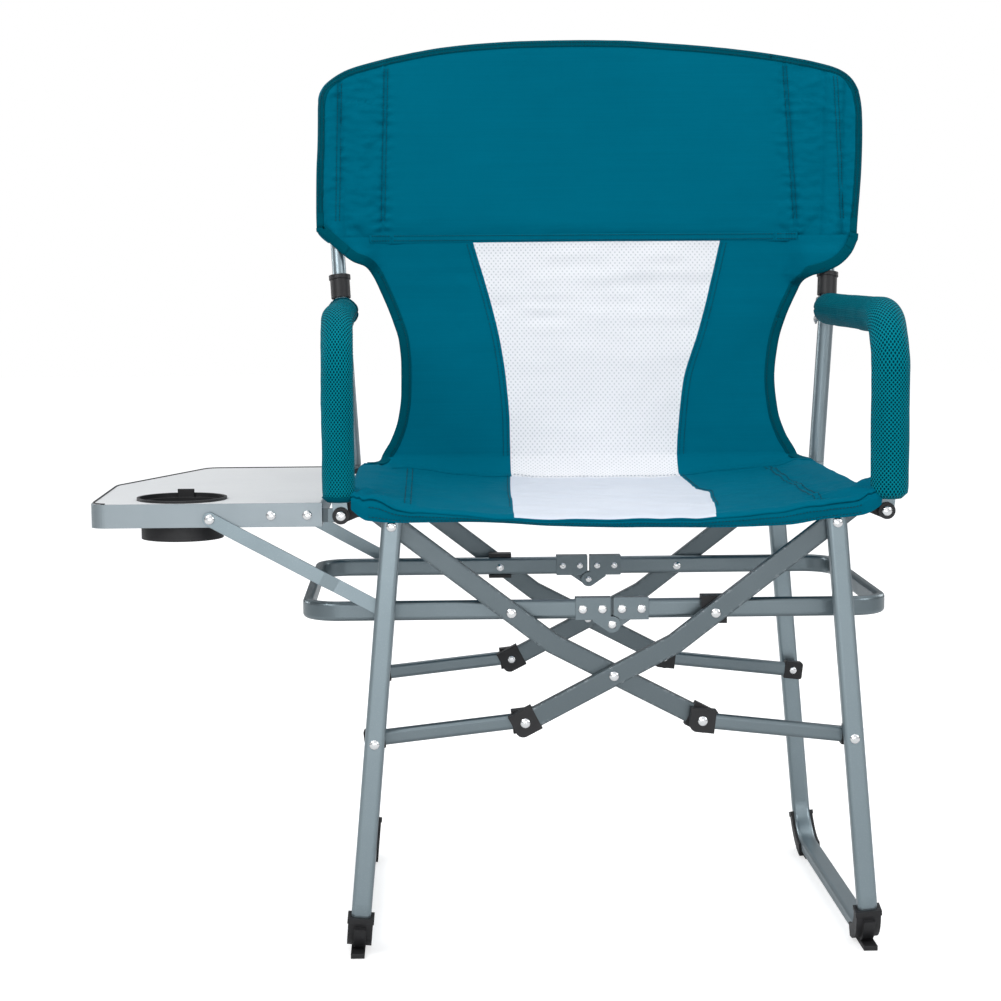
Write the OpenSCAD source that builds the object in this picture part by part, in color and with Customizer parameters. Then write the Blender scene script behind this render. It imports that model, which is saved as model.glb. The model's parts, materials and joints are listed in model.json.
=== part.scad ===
// Folding camp chair: tubular scissor frame, sling seat and back,
// folding back posts, padded armrests and a drop-down side table.
// X to the right, Y to the back, Z up. The chair is drawn open and locked.

/* [Frame] */
// Depth of the frame, front leg face to rear leg face
frame_d = 430; // [410:5:450]
// Leg tube width across the chair
leg_w = 20; // [18:1:22]
// Leg tube thickness front to back
leg_t = 15; // [13:1:16]
// Tube wall
wall = 1.2; // [0.8:0.1:1.6]
// Outward splay of each leg
splay = 5.03; // [4:0.01:6]
// Centre-line radius of the bends at the floor
leg_bend_r = 45; // [38:1:50]

/* [Scissor arms] */
// Half distance between the leg top pivots
top_x = 223; // [215:1:230]
// Height of the leg top pivots
top_z = 442; // [435:1:450]
// Height of the crossing rivet
cross_z = 286; // [280:1:292]
// Arm tube width
arm_w = 20; // [18:1:22]
// Arm and hoop tube thickness
arm_t = 10; // [9:0.5:10]
// Link tube width
link_w = 16; // [14:1:18]
// Height of the hoop bars
hoop_z = 351; // [348:1:354]

/* [Seat and back] */
// Half distance between the seat rails
rail_x = 256; // [250:1:260]
// Height of the seat rails
rail_z = 460; // [456:1:464]
// Seat rail diameter
rail_dia = 19; // [18:0.5:20]
// Height of the back post hinges
post_hinge_z = 634; // [625:1:640]
// Backward lean of the upper posts
recline = 12; // [8:1:14]
// Outward lean of the posts
post_lean = 3.5; // [3:0.1:4]
// Length of the upper posts above the hinge
post_len = 268; // [250:1:290]
// Height of the back panel above the hinge
panel_h = 334; // [310:1:340]
// Half width of the strip left open between the seat halves
seat_gap = 46; // [44:1:60]

/* [Armrests] */
// Height of the armrest tube centre
arm_z = 647; // [640:1:655]
// Armrest tube diameter
armrest_d = 19; // [18:0.5:20]
// Foam outer diameter
foam_d = 33; // [30:1:34]

/* [Side table] */
// Height of the table surface
table_z = 465.5; // [464:0.5:470]
// Table width, side to side
table_w = 231; // [210:1:235]
// Rim height
rim_h = 24; // [20:1:26]
// Cup holder inner radius
cup_r = 38.5; // [36:0.5:40]

/* [Hidden] */
// Shift of the whole chair, so that its box stands centred on the origin
ox = -100.5;
oy = 247.55;
D = frame_d;
ax = [0,1,0];
// depth layers behind the front leg face: arm layer 1, arm layer 2, hoop layer 3
l1 = 16.5; l2 = 28.5; l3 = 40.5;
T = [top_x, top_z]; C = [0, cross_z];
P = [103, 349.5]; E = [90, 239]; B = [62, 318]; H = [0, 335];
K = [top_x + 220*tan(splay), top_z - 220];
ring = [273, 453];
rail = [rail_x, rail_z];
leg_len = (top_z - 13.5)/cos(splay);
pin_r = 3.5; clear = 0.05;
hoop_out_l = 311; hoop_out_r = 281; hoop_r = 34;
post_y = 426; hinge_y = 436;
steel = [0.52,0.57,0.60]; black = [0.06,0.06,0.065]; chrome = [0.85,0.86,0.87];
teal = [0.0,0.41,0.51];

module place() translate([ox*-1, oy*-1, 0]) children();
module flip(s) if (s < 0) mirror([1,0,0]) children(); else children();
// half turn about the chair's upright centre line, front becomes rear
module turn() translate([0,D,0]) rotate([0,0,180]) children();

module rr(w,h,r) {
  square([w-2*r,h],center=true);
  square([w,h-2*r],center=true);
  for (i=[-1,1], j=[-1,1]) translate([i*(w/2-r), j*(h/2-r)]) circle(r=r,$fn=24);
}
module rtube(w,h,r,t=wall) difference() { rr(w,h,r); rr(w-2*t,h-2*t,max(r-t,0.5)); }

// tube segment in an XZ plane, from a to b, centred on y
module seg(a,b,w,d,y,r=3.5,ext0=0,ext1=0,hollow=true) {
  v = b-a; L = norm(v);
  translate([a[0],y,a[1]]) rotate([0,atan2(v[0],v[1]),0]) translate([0,0,-ext0])
    linear_extrude(L+ext0+ext1) if (hollow) rtube(w,d,r); else rr(w,d,r);
}
module bore(p,r,y0,y1) translate([p[0],y0,p[1]]) rotate([-90,0,0]) cylinder(r=r,h=y1-y0,$fn=48);
// domed rivet along +Y: head front face at y0, shank to y1, tail head behind
module rivet(p,y0,y1,r=pin_r,hr=5.2,hh=2.6,th=1.6) {
  bore(p,r,y0,y1);
  translate([p[0],y0,p[1]]) rotate([90,0,0]) dome(hr,hh);
  translate([p[0],y1,p[1]]) rotate([-90,0,0]) dome(hr*0.82,th);
}
// the same with a head at one end only, flush inside a cap at the other
module rivet_head(p,y0,y1,r=pin_r,hr=5.2,hh=2.4) { bore(p,r,y0,y1); translate([p[0],y0,p[1]]) rotate([90,0,0]) dome(hr,hh); }
module rivet_tail(p,y0,y1,r=pin_r,hr=4.4,hh=1.6) { bore(p,r,y0,y1); translate([p[0],y1,p[1]]) rotate([-90,0,0]) dome(hr,hh); }
module dome(r,h) rotate_extrude($fn=48)
  polygon([[0,0],[r,0],[r,h*0.22],[r*0.92,h*0.5],[r*0.74,h*0.76],[r*0.45,h*0.94],[r*0.2,h],[0,h]]);
module stadium(a,b,w,y0,y1) {
  v = b-a; L = norm(v);
  translate([a[0],y0,a[1]]) rotate([0,atan2(v[0],v[1])-90,0]) rotate([-90,0,0])
    linear_extrude(y1-y0) { translate([0,-w/2]) square([L,w]); circle(d=w,$fn=48); translate([L,0]) circle(d=w,$fn=48); }
}

// ---------- legs ----------
module leg_frame() translate([top_x,0,top_z]) rotate([0,-splay,0]) children();
module sweep(from,ang) rotate([90,0,90]) rotate([0,0,from]) rotate_extrude(angle=ang,$fn=96) translate([leg_bend_r,0]) children();
module leg_tube() {
  Z = -(leg_len-leg_bend_r); y1 = leg_t/2; y2 = D-leg_t/2;
  difference() {
    leg_frame() {
      for (y=[y1,y2]) translate([0,y,Z]) linear_extrude(-Z+14) rtube(leg_w,leg_t,4.5);
      translate([0,y1+leg_bend_r,Z]) sweep(180,90) rtube(leg_t,leg_w,4.5);
      translate([0,y2-leg_bend_r,Z]) sweep(270,90) rtube(leg_t,leg_w,4.5);
      translate([0,y1+leg_bend_r,-leg_len]) rotate([-90,0,0]) linear_extrude(y2-y1-2*leg_bend_r) rtube(leg_w,leg_t,4.5);
    }
    bore(T,pin_r+clear,-5,D+5);
    bore(K,pin_r+clear,-5,D+5);
  }
}
// black cover on the outside of a floor bend: open inside, a fin and a flat sole below
module shoe() {
  Z = -(leg_len-leg_bend_r); y1 = leg_t/2; R = leg_bend_r;
  difference() {
    union() {
      leg_frame() translate([0,y1+R,Z]) {
        sweep(197,75) translate([2.9,0]) square([14.8,leg_w+5.2],center=true);
        sweep(196,6) translate([3.1,0]) square([15.7,leg_w+7],center=true);
        sweep(207,62) translate([leg_t/2+3.4,0]) square([6.8,12],center=true);
      }
      translate([top_x + (top_z-3)*tan(splay) - 6.5, 7, 0]) cube([14,54,5]);
    }
    leg_frame() translate([0,y1+R,Z]) sweep(160,112) rr(leg_t+0.3,leg_w+0.3,4.6);
    translate([0,-50,-50]) cube([500,600,50]);
  }
}
module shoes() { shoe(); translate([0,D,0]) mirror([0,1,0]) shoe(); }

module leg_tube_left() color(steel) place() flip(-1) leg_tube();
module leg_tube_right() color(steel) place() leg_tube();
module leg_shoes_left() color(black) place() flip(-1) shoes();
module leg_shoes_right() color(black) place() shoes();
// front: left leg joins layer 2, right leg joins layer 1; the rear is the same turned half round
module leg_rivets_a() { rivet([-T[0],T[1]],0,l2+arm_t+0.1); rivet([-K[0],K[1]],0,l2+arm_t+0.8,th=1.05); }
module leg_rivets_b() { rivet(T,0,l1+arm_t+0.3); rivet(K,0,l1+arm_t+0.8,th=1.05); }
module leg_rivets_left() color(chrome) place() { leg_rivets_a(); turn() leg_rivets_b(); }
module leg_rivets_right() color(chrome) place() { leg_rivets_b(); turn() leg_rivets_a(); }
module bush(p,y0,y1,r=7) difference() { bore(p,r,y0,y1); bore(p,pin_r+clear,y0-1,y1+1); }
module leg_bushes_left() color(black) place() { for (p=[T,K]) bush([-p[0],p[1]],leg_t+0.1,l2-0.9); }
module leg_bushes_right() color(black) place() turn() { for (p=[T,K]) bush([-p[0],p[1]],leg_t+0.1,l2-0.9); }

// ---------- scissor arms: arm a runs top left to bottom right ----------
// outline of a strip of width w along t-b-e, mitred at b
function side2(v) = [-v[1],v[0]];
function bent(t,b,e,w,x0,x1) = let(u=(b-t)/norm(b-t), v=(e-b)/norm(e-b), m=(side2(u)+side2(v))/2, k=m/(m*m)*w/2,
    p=t-u*x0, q=e+v*x1)
  [p+side2(u)*w/2, b+k, q+side2(v)*w/2, q-side2(v)*w/2, b-k, p-side2(u)*w/2];
module arm_strip(w,d,y,x0,x1) translate([0,y+d/2,0]) rotate([90,0,0]) linear_extrude(d)
  polygon(bent([-T[0],T[1]],[-B[0],B[1]],E,w,x0,x1));
module arm(y) difference() {
  arm_strip(arm_w,arm_t,y,33,12);
  arm_strip(arm_w-2*wall,arm_t-2*wall,y,40,20);
  bore([-rail[0],rail[1]],rail_dia/2+0.15,y-20,y+20);
  for (p=[[-T[0],T[1]],[-P[0],P[1]],C,E]) bore(p,pin_r+clear,y-20,y+20);
}
module arms_left() color(steel) place() { arm(l2+arm_t/2); arm(D-l1-arm_t/2); }
module arms_right() color(steel) place() turn() { arm(l2+arm_t/2); arm(D-l1-arm_t/2); }

module rail_tube(s) difference() { bore([s*rail[0],rail[1]],rail_dia/2,19,D-19); bore([s*rail[0],rail[1]],rail_dia/2-wall,10,D-10); }
module seat_rail_left() color(steel) place() rail_tube(-1);
module seat_rail_right() color(steel) place() rail_tube(1);
module plug(s) difference() {
  union() {
    bore([s*rail[0],rail[1]],rail_dia/2+0.05,13,19);
    bore([s*rail[0],rail[1]],rail_dia/2-wall-0.1,18,34);
    stadium([s*rail[0],rail[1]],[s*ring[0],ring[1]],17,13,19);
  }
  bore([s*ring[0],ring[1]],4.05,5,30);
}
module plugs(s) { plug(s); translate([0,D,0]) mirror([0,1,0]) plug(s); }
module rail_plugs_left() color(black) place() plugs(-1);
module rail_plugs_right() color(black) place() plugs(1);

// cap over an arm's lower end, with one rounded corner
module arm_cap(y) {
  e=E; v=(E-[-B[0],B[1]])/norm(E-[-B[0],B[1]]);
  difference() {
    translate([e[0],y,e[1]]) rotate([0,atan2(v[0],v[1]),0]) difference() {
      translate([0,arm_t/2+0.8,0]) rotate([90,0,0]) linear_extrude(arm_t+1.6) {
        translate([-13,-13]) square([26,18]); translate([-13,-13]) square([20,26]);
        translate([5,5]) circle(r=8,$fn=32);
      }
      translate([0,0,-30]) linear_extrude(42.1) square([arm_w+0.3,arm_t+0.3],center=true);
    }
    bore(e,pin_r+clear,y-20,y+20);
  }
}
module arm_caps_left() color(black) place() { arm_cap(l2+arm_t/2); arm_cap(D-l1-arm_t/2); }
module arm_caps_right() color(black) place() turn() { arm_cap(l2+arm_t/2); arm_cap(D-l1-arm_t/2); }

// rivets carried by the arms: crossing, hoop pivots and arm ends
module open_rivets() {
  // at the arm's lower end, front in layer 2 and rear in layer 1
  rivet_tail(E,l2-0.7,l2+arm_t+0.8);
  turn() rivet_head([-E[0],E[1]],l1-0.8,l1+arm_t+0.7);
}
module arm_rivets_left() color(chrome) place() {
  rivet(C,l1-0.1,l2+arm_t+0.1);
  turn() rivet(C,l1-0.1,l2+arm_t+0.1);
  rivet([-P[0],P[1]],l2-0.1,l3+arm_t+0.1,pin_r,5.2,1.9);
  turn() rivet(P,l1-0.1,l3+arm_t+0.1);
  open_rivets();
}
module arm_rivets_right() color(chrome) place() turn() {
  rivet([-P[0],P[1]],l2-0.1,l2+arm_t+0.1,pin_r,5.2,1.6);
  turn() rivet(P,l1-0.1,l1+arm_t+0.1,pin_r,5.2,2.6);
  open_rivets();
}

// ---------- links between the arm ends and the legs ----------
module link(y) difference() {
  seg(E,K,link_w,arm_t,y,4.2,11,11);
  for (p=[E,K]) bore(p,pin_r+clear,y-20,y+20);
}
// right side: front link in layer 1, rear link in layer 2
module links_right() color(steel) place() { link(l1+arm_t/2); link(D-l2-arm_t/2); }
module links_left() color(steel) place() turn() { link(l1+arm_t/2); link(D-l2-arm_t/2); }
module link_cap(y) {
  v=(E-K)/norm(E-K);
  difference() {
    translate([E[0],y,E[1]]) rotate([0,atan2(v[0],v[1]),0]) difference() {
      translate([0,arm_t/2+0.8,0]) rotate([90,0,0]) linear_extrude(arm_t+1.6) {
        translate([-12,-13]) square([24,18]); translate([-6,-13]) square([18,26]);
        translate([-4,5]) circle(r=8,$fn=32);
      }
      translate([0,0,-30]) linear_extrude(41.1) rr(link_w+0.3,arm_t+0.3,3.3);
    }
    bore(E,pin_r+clear,y-20,y+20);
  }
}
// plain cap over a link's outer end, beside the leg
module link_end(y) {
  v=(K-E)/norm(K-E);
  difference() {
    translate([K[0],y,K[1]]) rotate([0,atan2(v[0],v[1]),0]) difference() {
      translate([0,arm_t/2+0.6,0]) rotate([90,0,0]) linear_extrude(arm_t+1.2) {
        translate([-10,-10]) square([20,17]); translate([-7,-10]) square([14,21]);
        for (i=[-7,7]) translate([i,8]) circle(r=3,$fn=24);
      }
      translate([0,0,-30]) linear_extrude(41.1) rr(link_w+0.3,arm_t+0.3,3.3);
    }
    bore(K,pin_r+clear,y-20,y+20);
  }
}
module link_caps_one() { link_cap(l1+arm_t/2); link_cap(D-l2-arm_t/2); link_end(l1+arm_t/2); link_end(D-l2-arm_t/2); }
module link_caps_right() color(black) place() link_caps_one();
module link_caps_left() color(black) place() turn() link_caps_one();
module link_riv() { rivet_head(E,l1-0.8,l1+arm_t+0.7); translate([0,D,0]) mirror([0,1,0]) rivet_tail(E,l2-0.7,l2+arm_t+0.8); }
module link_rivets_right() color(chrome) place() link_riv();
module link_rivets_left() color(chrome) place() turn() link_riv();

// ---------- locking hoops ----------
module bar_x(x0,x1,y) translate([x0,y,hoop_z]) rotate([0,90,0]) linear_extrude(x1-x0) rtube(20,arm_t,4.3);
module hoop(out) difference() {
  union() {
    for (y=[l3+arm_t/2,D-l3-arm_t/2]) bar_x(1.2,out-hoop_r,y);
    translate([out,l3+arm_t/2+hoop_r,hoop_z]) rotate([-90,0,0]) linear_extrude(D-2*l3-arm_t-2*hoop_r) rtube(arm_t,20,4.3);
    translate([out-hoop_r,l3+arm_t/2+hoop_r,hoop_z]) rotate([0,0,-90]) rotate_extrude(angle=90,$fn=96) translate([hoop_r,0]) rtube(arm_t,20,4.3);
    translate([out-hoop_r,D-l3-arm_t/2-hoop_r,hoop_z]) rotate_extrude(angle=90,$fn=96) translate([hoop_r,0]) rtube(arm_t,20,4.3);
  }
  bore(P,pin_r+clear,0,D);
  for (x=[10,30]) bore([x,hoop_z],2.55,0,D);
}
module hoop_left() color(steel) place() flip(-1) hoop(hoop_out_l);
module hoop_right() color(steel) place() hoop(hoop_out_r);
// hinge bracket halves at the middle of each bar; plates one side with the pivot tab
module plate(y,tab) difference() {
  translate([0,y,0]) union() {
    translate([1.4,0,hoop_z-11]) cube([36,1.1,23]);
    // tapering tab down to the hinge rivet
    if (tab) translate([0,1.1,0]) rotate([90,0,0]) linear_extrude(1.1) {
      translate([0,H[1]]) circle(r=8.5,$fn=48);
      polygon([[20,hoop_z-10],[2,hoop_z-10],[2,H[1]],[0,H[1]-8.4],[5,H[1]-6.8],[20,hoop_z-12.5]]);
    }
  }
  bore(H,tab ? 3.05 : 9.3,y-5,y+5);
  for (x=[10,30]) bore([x,hoop_z],2.55,y-5,y+5);
}
module top_strip(y) translate([3,y,hoop_z+10.6]) cube([33,arm_t+0.1,1.1]);
module bracket(front_tab) {
  plate(l3-1.2,front_tab); plate(l3+arm_t+0.1,!front_tab);
  top_strip(l3-0.1);
}
module rear(s) translate([0,D,0]) mirror([0,1,0]) children();
module hoop_brackets_left() color(steel) place() flip(-1) { bracket(true); rear() bracket(true); }
module hoop_brackets_right() color(steel) place() { bracket(false); rear() bracket(false); }
module small_rivets() for (x=[10,30]) rivet([x,hoop_z],l3-1.3,l3+arm_t+1.3,2.5,4.6,0.6);
module hoop_rivets_left() color(chrome) place() {
  flip(-1) { small_rivets(); rear() small_rivets(); }
  for (m=[0,1]) translate([0,m*D,0]) mirror([0,m,0]) rivet(H,l3-1.3,l3+arm_t+1.3,3,4.4,0.6);
}
module hoop_rivets_right() color(chrome) place() {
  small_rivets(); rear() small_rivets();
  bore(P,pin_r,l2+0.6,l3+arm_t+0.1); translate([P[0],l3+arm_t+0.1,P[1]]) rotate([-90,0,0]) dome(4.6,1.6);
  turn() translate([-P[0],l3+0.2,P[1]]) rotate([-90,0,0]) { cylinder(r=pin_r,h=arm_t-0.1,$fn=48); translate([0,0,arm_t-0.1]) dome(4.6,1.6); }
}
// spacer where a hoop bar passes its arm with one layer between; its sides wrap the bar
module clip() difference() {
  translate([P[0]-13,l2+0.4,hoop_z-14]) cube([26,l3-l2+arm_t*0.7,28]);
  translate([P[0]-20,l3-0.15,hoop_z-10.15]) cube([40,arm_t+5,20.3]);
  bore(P,pin_r+clear,0,D);
}
module hoop_clip_left() color(black) place() turn() clip();
module hoop_clip_right() color(black) place() clip();

// ---------- armrests with the lower back posts ----------
post_tan = tan(post_lean);
module tube(d,h,t=wall) difference() { cylinder(d=d,h=h,$fn=64); translate([0,0,-1]) cylinder(d=d-2*t,h=h+2,$fn=64); }
arm_y0 = 3; arm_bend = 55; arm_y1 = post_y-armrest_d/2-0.3;
yaw = atan((post_hinge_z-450)*post_tan*0.6/(post_y-60));
module armrest_path(d,h,inner,z0,y1) translate([ring[0]+2,arm_y0,0]) rotate([0,0,-yaw]) {
  translate([0,0,z0]) tube(d,arm_z-arm_bend-z0,(d-inner)/2);
  translate([0,arm_bend,arm_z-arm_bend]) rotate([90,0,90]) rotate([0,0,90]) rotate_extrude(angle=90,$fn=96) translate([arm_bend,0]) difference() { circle(d=d,$fn=64); circle(d=inner,$fn=64); }
  translate([0,arm_bend,arm_z]) rotate([-90,0,0]) tube(d,y1-arm_bend,(d-inner)/2);
}
module lower_post() translate([ring[0]+0.5,post_y,ring[1]+14]) rotate([0,post_lean,0]) tube(18,post_hinge_z+8-ring[1]-14);
module armrest_tube() difference() {
  union() {
    difference() {
      armrest_path(armrest_d,armrest_d,armrest_d-2*wall,ring[1]+20,post_y-arm_y0-4);
      translate([ring[0]+0.5,post_y,ring[1]+14]) rotate([0,post_lean,0]) translate([0,0,50]) cylinder(d=18.2,h=300,$fn=64);
    }
    lower_post();
    // flattened tube ends on the pivots
    stadium(ring,ring+[1.4,13],15,5.8,9.2);
    stadium(ring,ring+[1,18],16,D-9.2,D-5.8);
    translate([ring[0]+2,arm_y0+0.3,ring[1]+17]) cylinder(d=armrest_d+0.5,h=5.5,$fn=64);
    translate([ring[0]+0.5,post_y,ring[1]+13]) cylinder(d=17.4,h=4,$fn=64);
  }
  bore(ring,4.05,-5,D+5);
  translate([ring[0]-40,hinge_y,post_hinge_z]) rotate([0,90,0]) cylinder(r=2.55,h=100,$fn=48);
}
module armrest_tube_left() color(steel) place() flip(-1) armrest_tube();
module armrest_tube_right() color(steel) place() armrest_tube();
module foam() armrest_path(foam_d,foam_d,armrest_d+0.6,ring[1]+25,post_y-arm_y0-28);
module armrest_foam_left() color(teal) place() flip(-1) foam();
module armrest_foam_right() color(teal) place() foam();
module bolts(y0) for (m=[0,1]) translate([0,m*D,0]) mirror([0,m,0]) {
  bore(ring,4,3,19.4);
  translate([ring[0],3,ring[1]]) rotate([90,0,0]) dome(5.2,2.6);
  translate([ring[0],19.4,ring[1]]) rotate([-90,0,0]) dome(5.4,1.8);
}
module pivot_bolts_left() color(chrome) place() flip(-1) bolts();
module pivot_bolts_right() color(chrome) place() bolts();
module rings(gap) for (m=[0,1]) translate([0,m*D,0]) mirror([0,m,0]) {
  difference() { bore(ring,8.5,3,5.6); bore(ring,4.05,0,20); }
  if (gap) difference() { bore(ring,7.5,9.5,12.7); bore(ring,4.05,0,20); }
}
module pivot_rings_left() color(black) place() flip(-1) rings(false);
module pivot_rings_right() color(black) place() rings(true);

// ---------- folding upper posts ----------
hx = ring[0] + (post_hinge_z-ring[1])*post_tan;
module post_frame() translate([hx,hinge_y,post_hinge_z]) rotate([-recline,0,0]) rotate([0,post_lean,0]) translate([0,-9.6,0]) children();
module upper_post() post_frame() difference() {
  union() { translate([0,0,14]) tube(16,post_len-14); translate([0,0,post_len]) cylinder(d=16,h=2,$fn=64); }
  for (z=[20,44]) translate([-20,0,z]) rotate([0,90,0]) cylinder(r=2.05,h=40,$fn=48);
}
module upper_post_left() color(steel) place() flip(-1) upper_post();
module upper_post_right() color(steel) place() upper_post();
// stepped hinge plates either side, riveted to the upper post and pinned to the lower one
module plates_outline() {
  circle(r=6.4,$fn=48);
  polygon([[-6.4,0],[6.4,0],[6.2,3],[-4.2,20],[-6.2,27],[-6.2,46],[-13,46],[-13,27],[-15,21],[-15,15]]);
}
module post_plates() {
  translate([hx,hinge_y,post_hinge_z]) rotate([-recline,0,0]) rotate([0,post_lean,0]) intersection() {
    translate([-20,0,0]) rotate([90,0,90]) linear_extrude(40) plates_outline();
    translate([0,20,0]) rotate([90,0,0]) linear_extrude(40) for (s=[-1,1])
      polygon([[s*9.4,-8],[s*9.4,21],[s*8.05,26],[s*8.05,46],[s*9.25,46],[s*9.25,26.4],[s*10.8,21.4],[s*10.8,-8]]);
  }
  translate([hx-11.2,hinge_y,post_hinge_z]) rotate([0,90,0]) cylinder(r=2.5,h=22.4,$fn=48);
  for (s=[-1,1]) translate([hx+s*11,hinge_y,post_hinge_z]) rotate([0,s*90,0]) dome(4.2,2);
  post_frame() translate([-11,0,20]) rotate([0,90,0]) cylinder(r=2,h=22,$fn=48);
  post_frame() for (s=[-1,1]) translate([s*10.9,0,20]) rotate([0,s*90,0]) dome(4,1.9);
}
module post_plates_left() color(chrome) place() flip(-1) post_plates();
module post_plates_right() color(chrome) place() post_plates();
// sliding collar that covers the hinge plates' upper ends
module collar() post_frame() difference() {
  union() { translate([0,0,27]) cylinder(d=22.8,h=27,$fn=64); translate([0,0,49]) cylinder(d=25.2,h=5,$fn=64); }
  translate([0,0,48]) cylinder(d=16.3,h=30,$fn=64);
  translate([0,0,20]) cylinder(d=20.4,h=28.5,$fn=64);
}
module lock_collar_left() color(black) place() flip(-1) collar();
module lock_collar_right() color(black) place() collar();

// ---------- side table ----------
tx1 = -292; tx0 = tx1 - table_w; ty0 = 13; ty1 = D-13;
cup_x = tx1-144; cup_y = ty0+48;
module table_outline(d=0) {
  // front outer corner is rounded, rear outer corner is cut back on a slant with rounded ends
  r = 15-d; c = [tx0+15,ty0+15];
  polygon(concat([[tx1-d,ty0+d],[tx1-d,ty1-d],[tx0+94,ty1-d]],
    [for (a=[0:4]) [tx0+94-24*sin(a*8)-a*0.4,ty1-d-24*(1-cos(a*8))]],
    [for (a=[0:5]) [tx0+d+20*(1-cos((5-a)*7.4)),ty0+194+20*sin((5-a)*7.4)]],
    [for (a=[0:9]) [c[0]-r*cos(a*10),c[1]-r*sin(a*10)]]));
}
module table_rim() color(steel) place() difference() {
  union() {
    difference() { translate([0,0,table_z-rim_h]) linear_extrude(rim_h-0.2) table_outline(); translate([0,0,table_z-rim_h-1]) linear_extrude(rim_h+2) table_outline(1.4); }
    difference() { translate([0,0,table_z-rim_h]) linear_extrude(1.4) table_outline(1.3); translate([0,0,table_z-rim_h-1]) linear_extrude(4) table_outline(5.6); }
  }
  // slots in the inner end wall for the straps
  for (y=[ty0+1.45,ty1-5.15]) translate([tx1-4,y,445.4]) cube([8,3.7,14.9]);
  for (p=[[-343,453],[-307,453],[-404,450]]) bore(p,2.6,0,30);
  for (p=[[-343,453],[-307,453],[-404,450]]) bore(p,2.6,D-30,D);
}
module table_panel() color([0.87,0.88,0.89]) place() difference() {
  translate([0,0,table_z-5]) linear_extrude(5) table_outline(1.5);
  translate([cup_x,cup_y,table_z-20]) cylinder(r=45.8,h=40,$fn=96);
}
module cup_holder() color(black) place() translate([cup_x,cup_y,0]) difference() {
  union() {
    translate([0,0,table_z-5]) cylinder(r=45.5,h=7.4,$fn=96);
    // upright tab at the far side
    translate([-8.5,cup_r+0.4,table_z-12]) cube([17,2.6,18.5]);
    translate([0,0,table_z-39]) cylinder(r=cup_r+3,h=39.5,$fn=96);
  }
  translate([0,0,table_z-36]) cylinder(r=cup_r,h=50,$fn=96);
  difference() { translate([0,0,table_z-2]) cylinder(r=42.8,h=20,$fn=96); translate([-8.5,cup_r+0.4,table_z-12]) cube([17,2.6,30]); }
}
// strap riveted inside the rim, stepping forward to the armrest pivot
module strap() difference() {
  intersection() {
    translate([0,0,430]) linear_extrude(50) polygon([[-360,14.6],[-293,14.6],[-286,9.7],[-250,9.7],[-250,12.7],[-284.7,12.7],[-291.7,17.6],[-360,17.6]]);
    union() { stadium([-ring[0],ring[1]],[-350,453],13.8,5,20); bore([-ring[0],ring[1]],8.5,5,20); }
  }
  bore([-ring[0],ring[1]],4.05,0,30);
  for (x=[-343,-307]) bore([x,453],2.6,0,30);
}
module table_straps() color(steel) place() { strap(); rear() strap(); }
module table_rivets() color(chrome) place() for (m=[0,1]) translate([0,m*D,0]) mirror([0,m,0]) {
  for (x=[-343,-307]) rivet([x,453],ty0-0.1,17.7,2.55,5,2.6);
  rivet([-404,450],9.2,14.6,2.55,5.2,2.6);
}
// flat stay from the rim, its flattened tip hooked behind the leg
sa = [-404,450]; sb = [-229,354];
module brace() difference() {
  v = sb-sa; L = norm(v);
  translate([sa[0],0,sa[1]]) rotate([0,atan2(v[0],v[1])-90,0]) intersection() {
    translate([0,0,-7]) linear_extrude(14) polygon([[-8,9.5],[36,9.5],[126,12.0],[143,15.1],[L+8,15.1],[L+8,16.3],[141,16.3],[122,15.2],[36,12.5],[-8,12.5]]);
    rotate([-90,0,0]) linear_extrude(30) { translate([0,-7]) square([L,14]); circle(d=14,$fn=48); translate([L,0]) circle(d=14,$fn=48); }
  }
  bore(sa,2.6,0,30);
}
module table_braces() color(steel) place() { brace(); rear() brace(); }

// ---------- sling ----------
module sleeve(s) difference() { bore([s*rail[0],rail[1]],12.5,54,D-54); bore([s*rail[0],rail[1]],rail_dia/2+0.3,20,D-20); }
module seat_sleeve_left() color(teal) place() sleeve(-1);
module seat_sleeve_right() color(teal) place() sleeve(1);
module seat_panel() translate([seat_gap,57,449]) cube([rail_x-15-seat_gap,D-114,5]);
module seat_panel_left() color(teal) place() flip(-1) seat_panel();
module seat_panel_right() color(teal) place() seat_panel();
module sling_middle() color(teal) place() {
  // front band and hem
  translate([-258,-9,441]) cube([516,5.4,25]);
  translate([-206,-3.5,449]) cube([412,57,5]);
  // lower back
  hull() { translate([-214,392,470]) cube([428,4,2]); translate([-214,hinge_y-2,post_hinge_z-3]) cube([428,4,2]); }
}
module back_panel() color(teal) place() translate([0,hinge_y,post_hinge_z]) rotate([-recline,0,0])
  difference() {
    translate([-262,-2,1]) cube([524,5,panel_h]);
    for (s=[-1,1]) translate([s*294,-20,-5]) rotate([0,s*post_lean,0]) translate([-26-20,0,0]) cube([52+40,50,400]);
  }
module back_sleeve() post_frame() difference() {
  union() { translate([0,0,74]) cylinder(d=23,h=post_len-66,$fn=48); translate([0,-8,78]) cube([22,16,post_len-84]); }
  translate([0,0,60]) cylinder(d=16.6,h=post_len-54,$fn=64);
}
module back_sleeve_left() color(teal) place() flip(-1) back_sleeve();
module back_sleeve_right() color(teal) place() back_sleeve();

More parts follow.
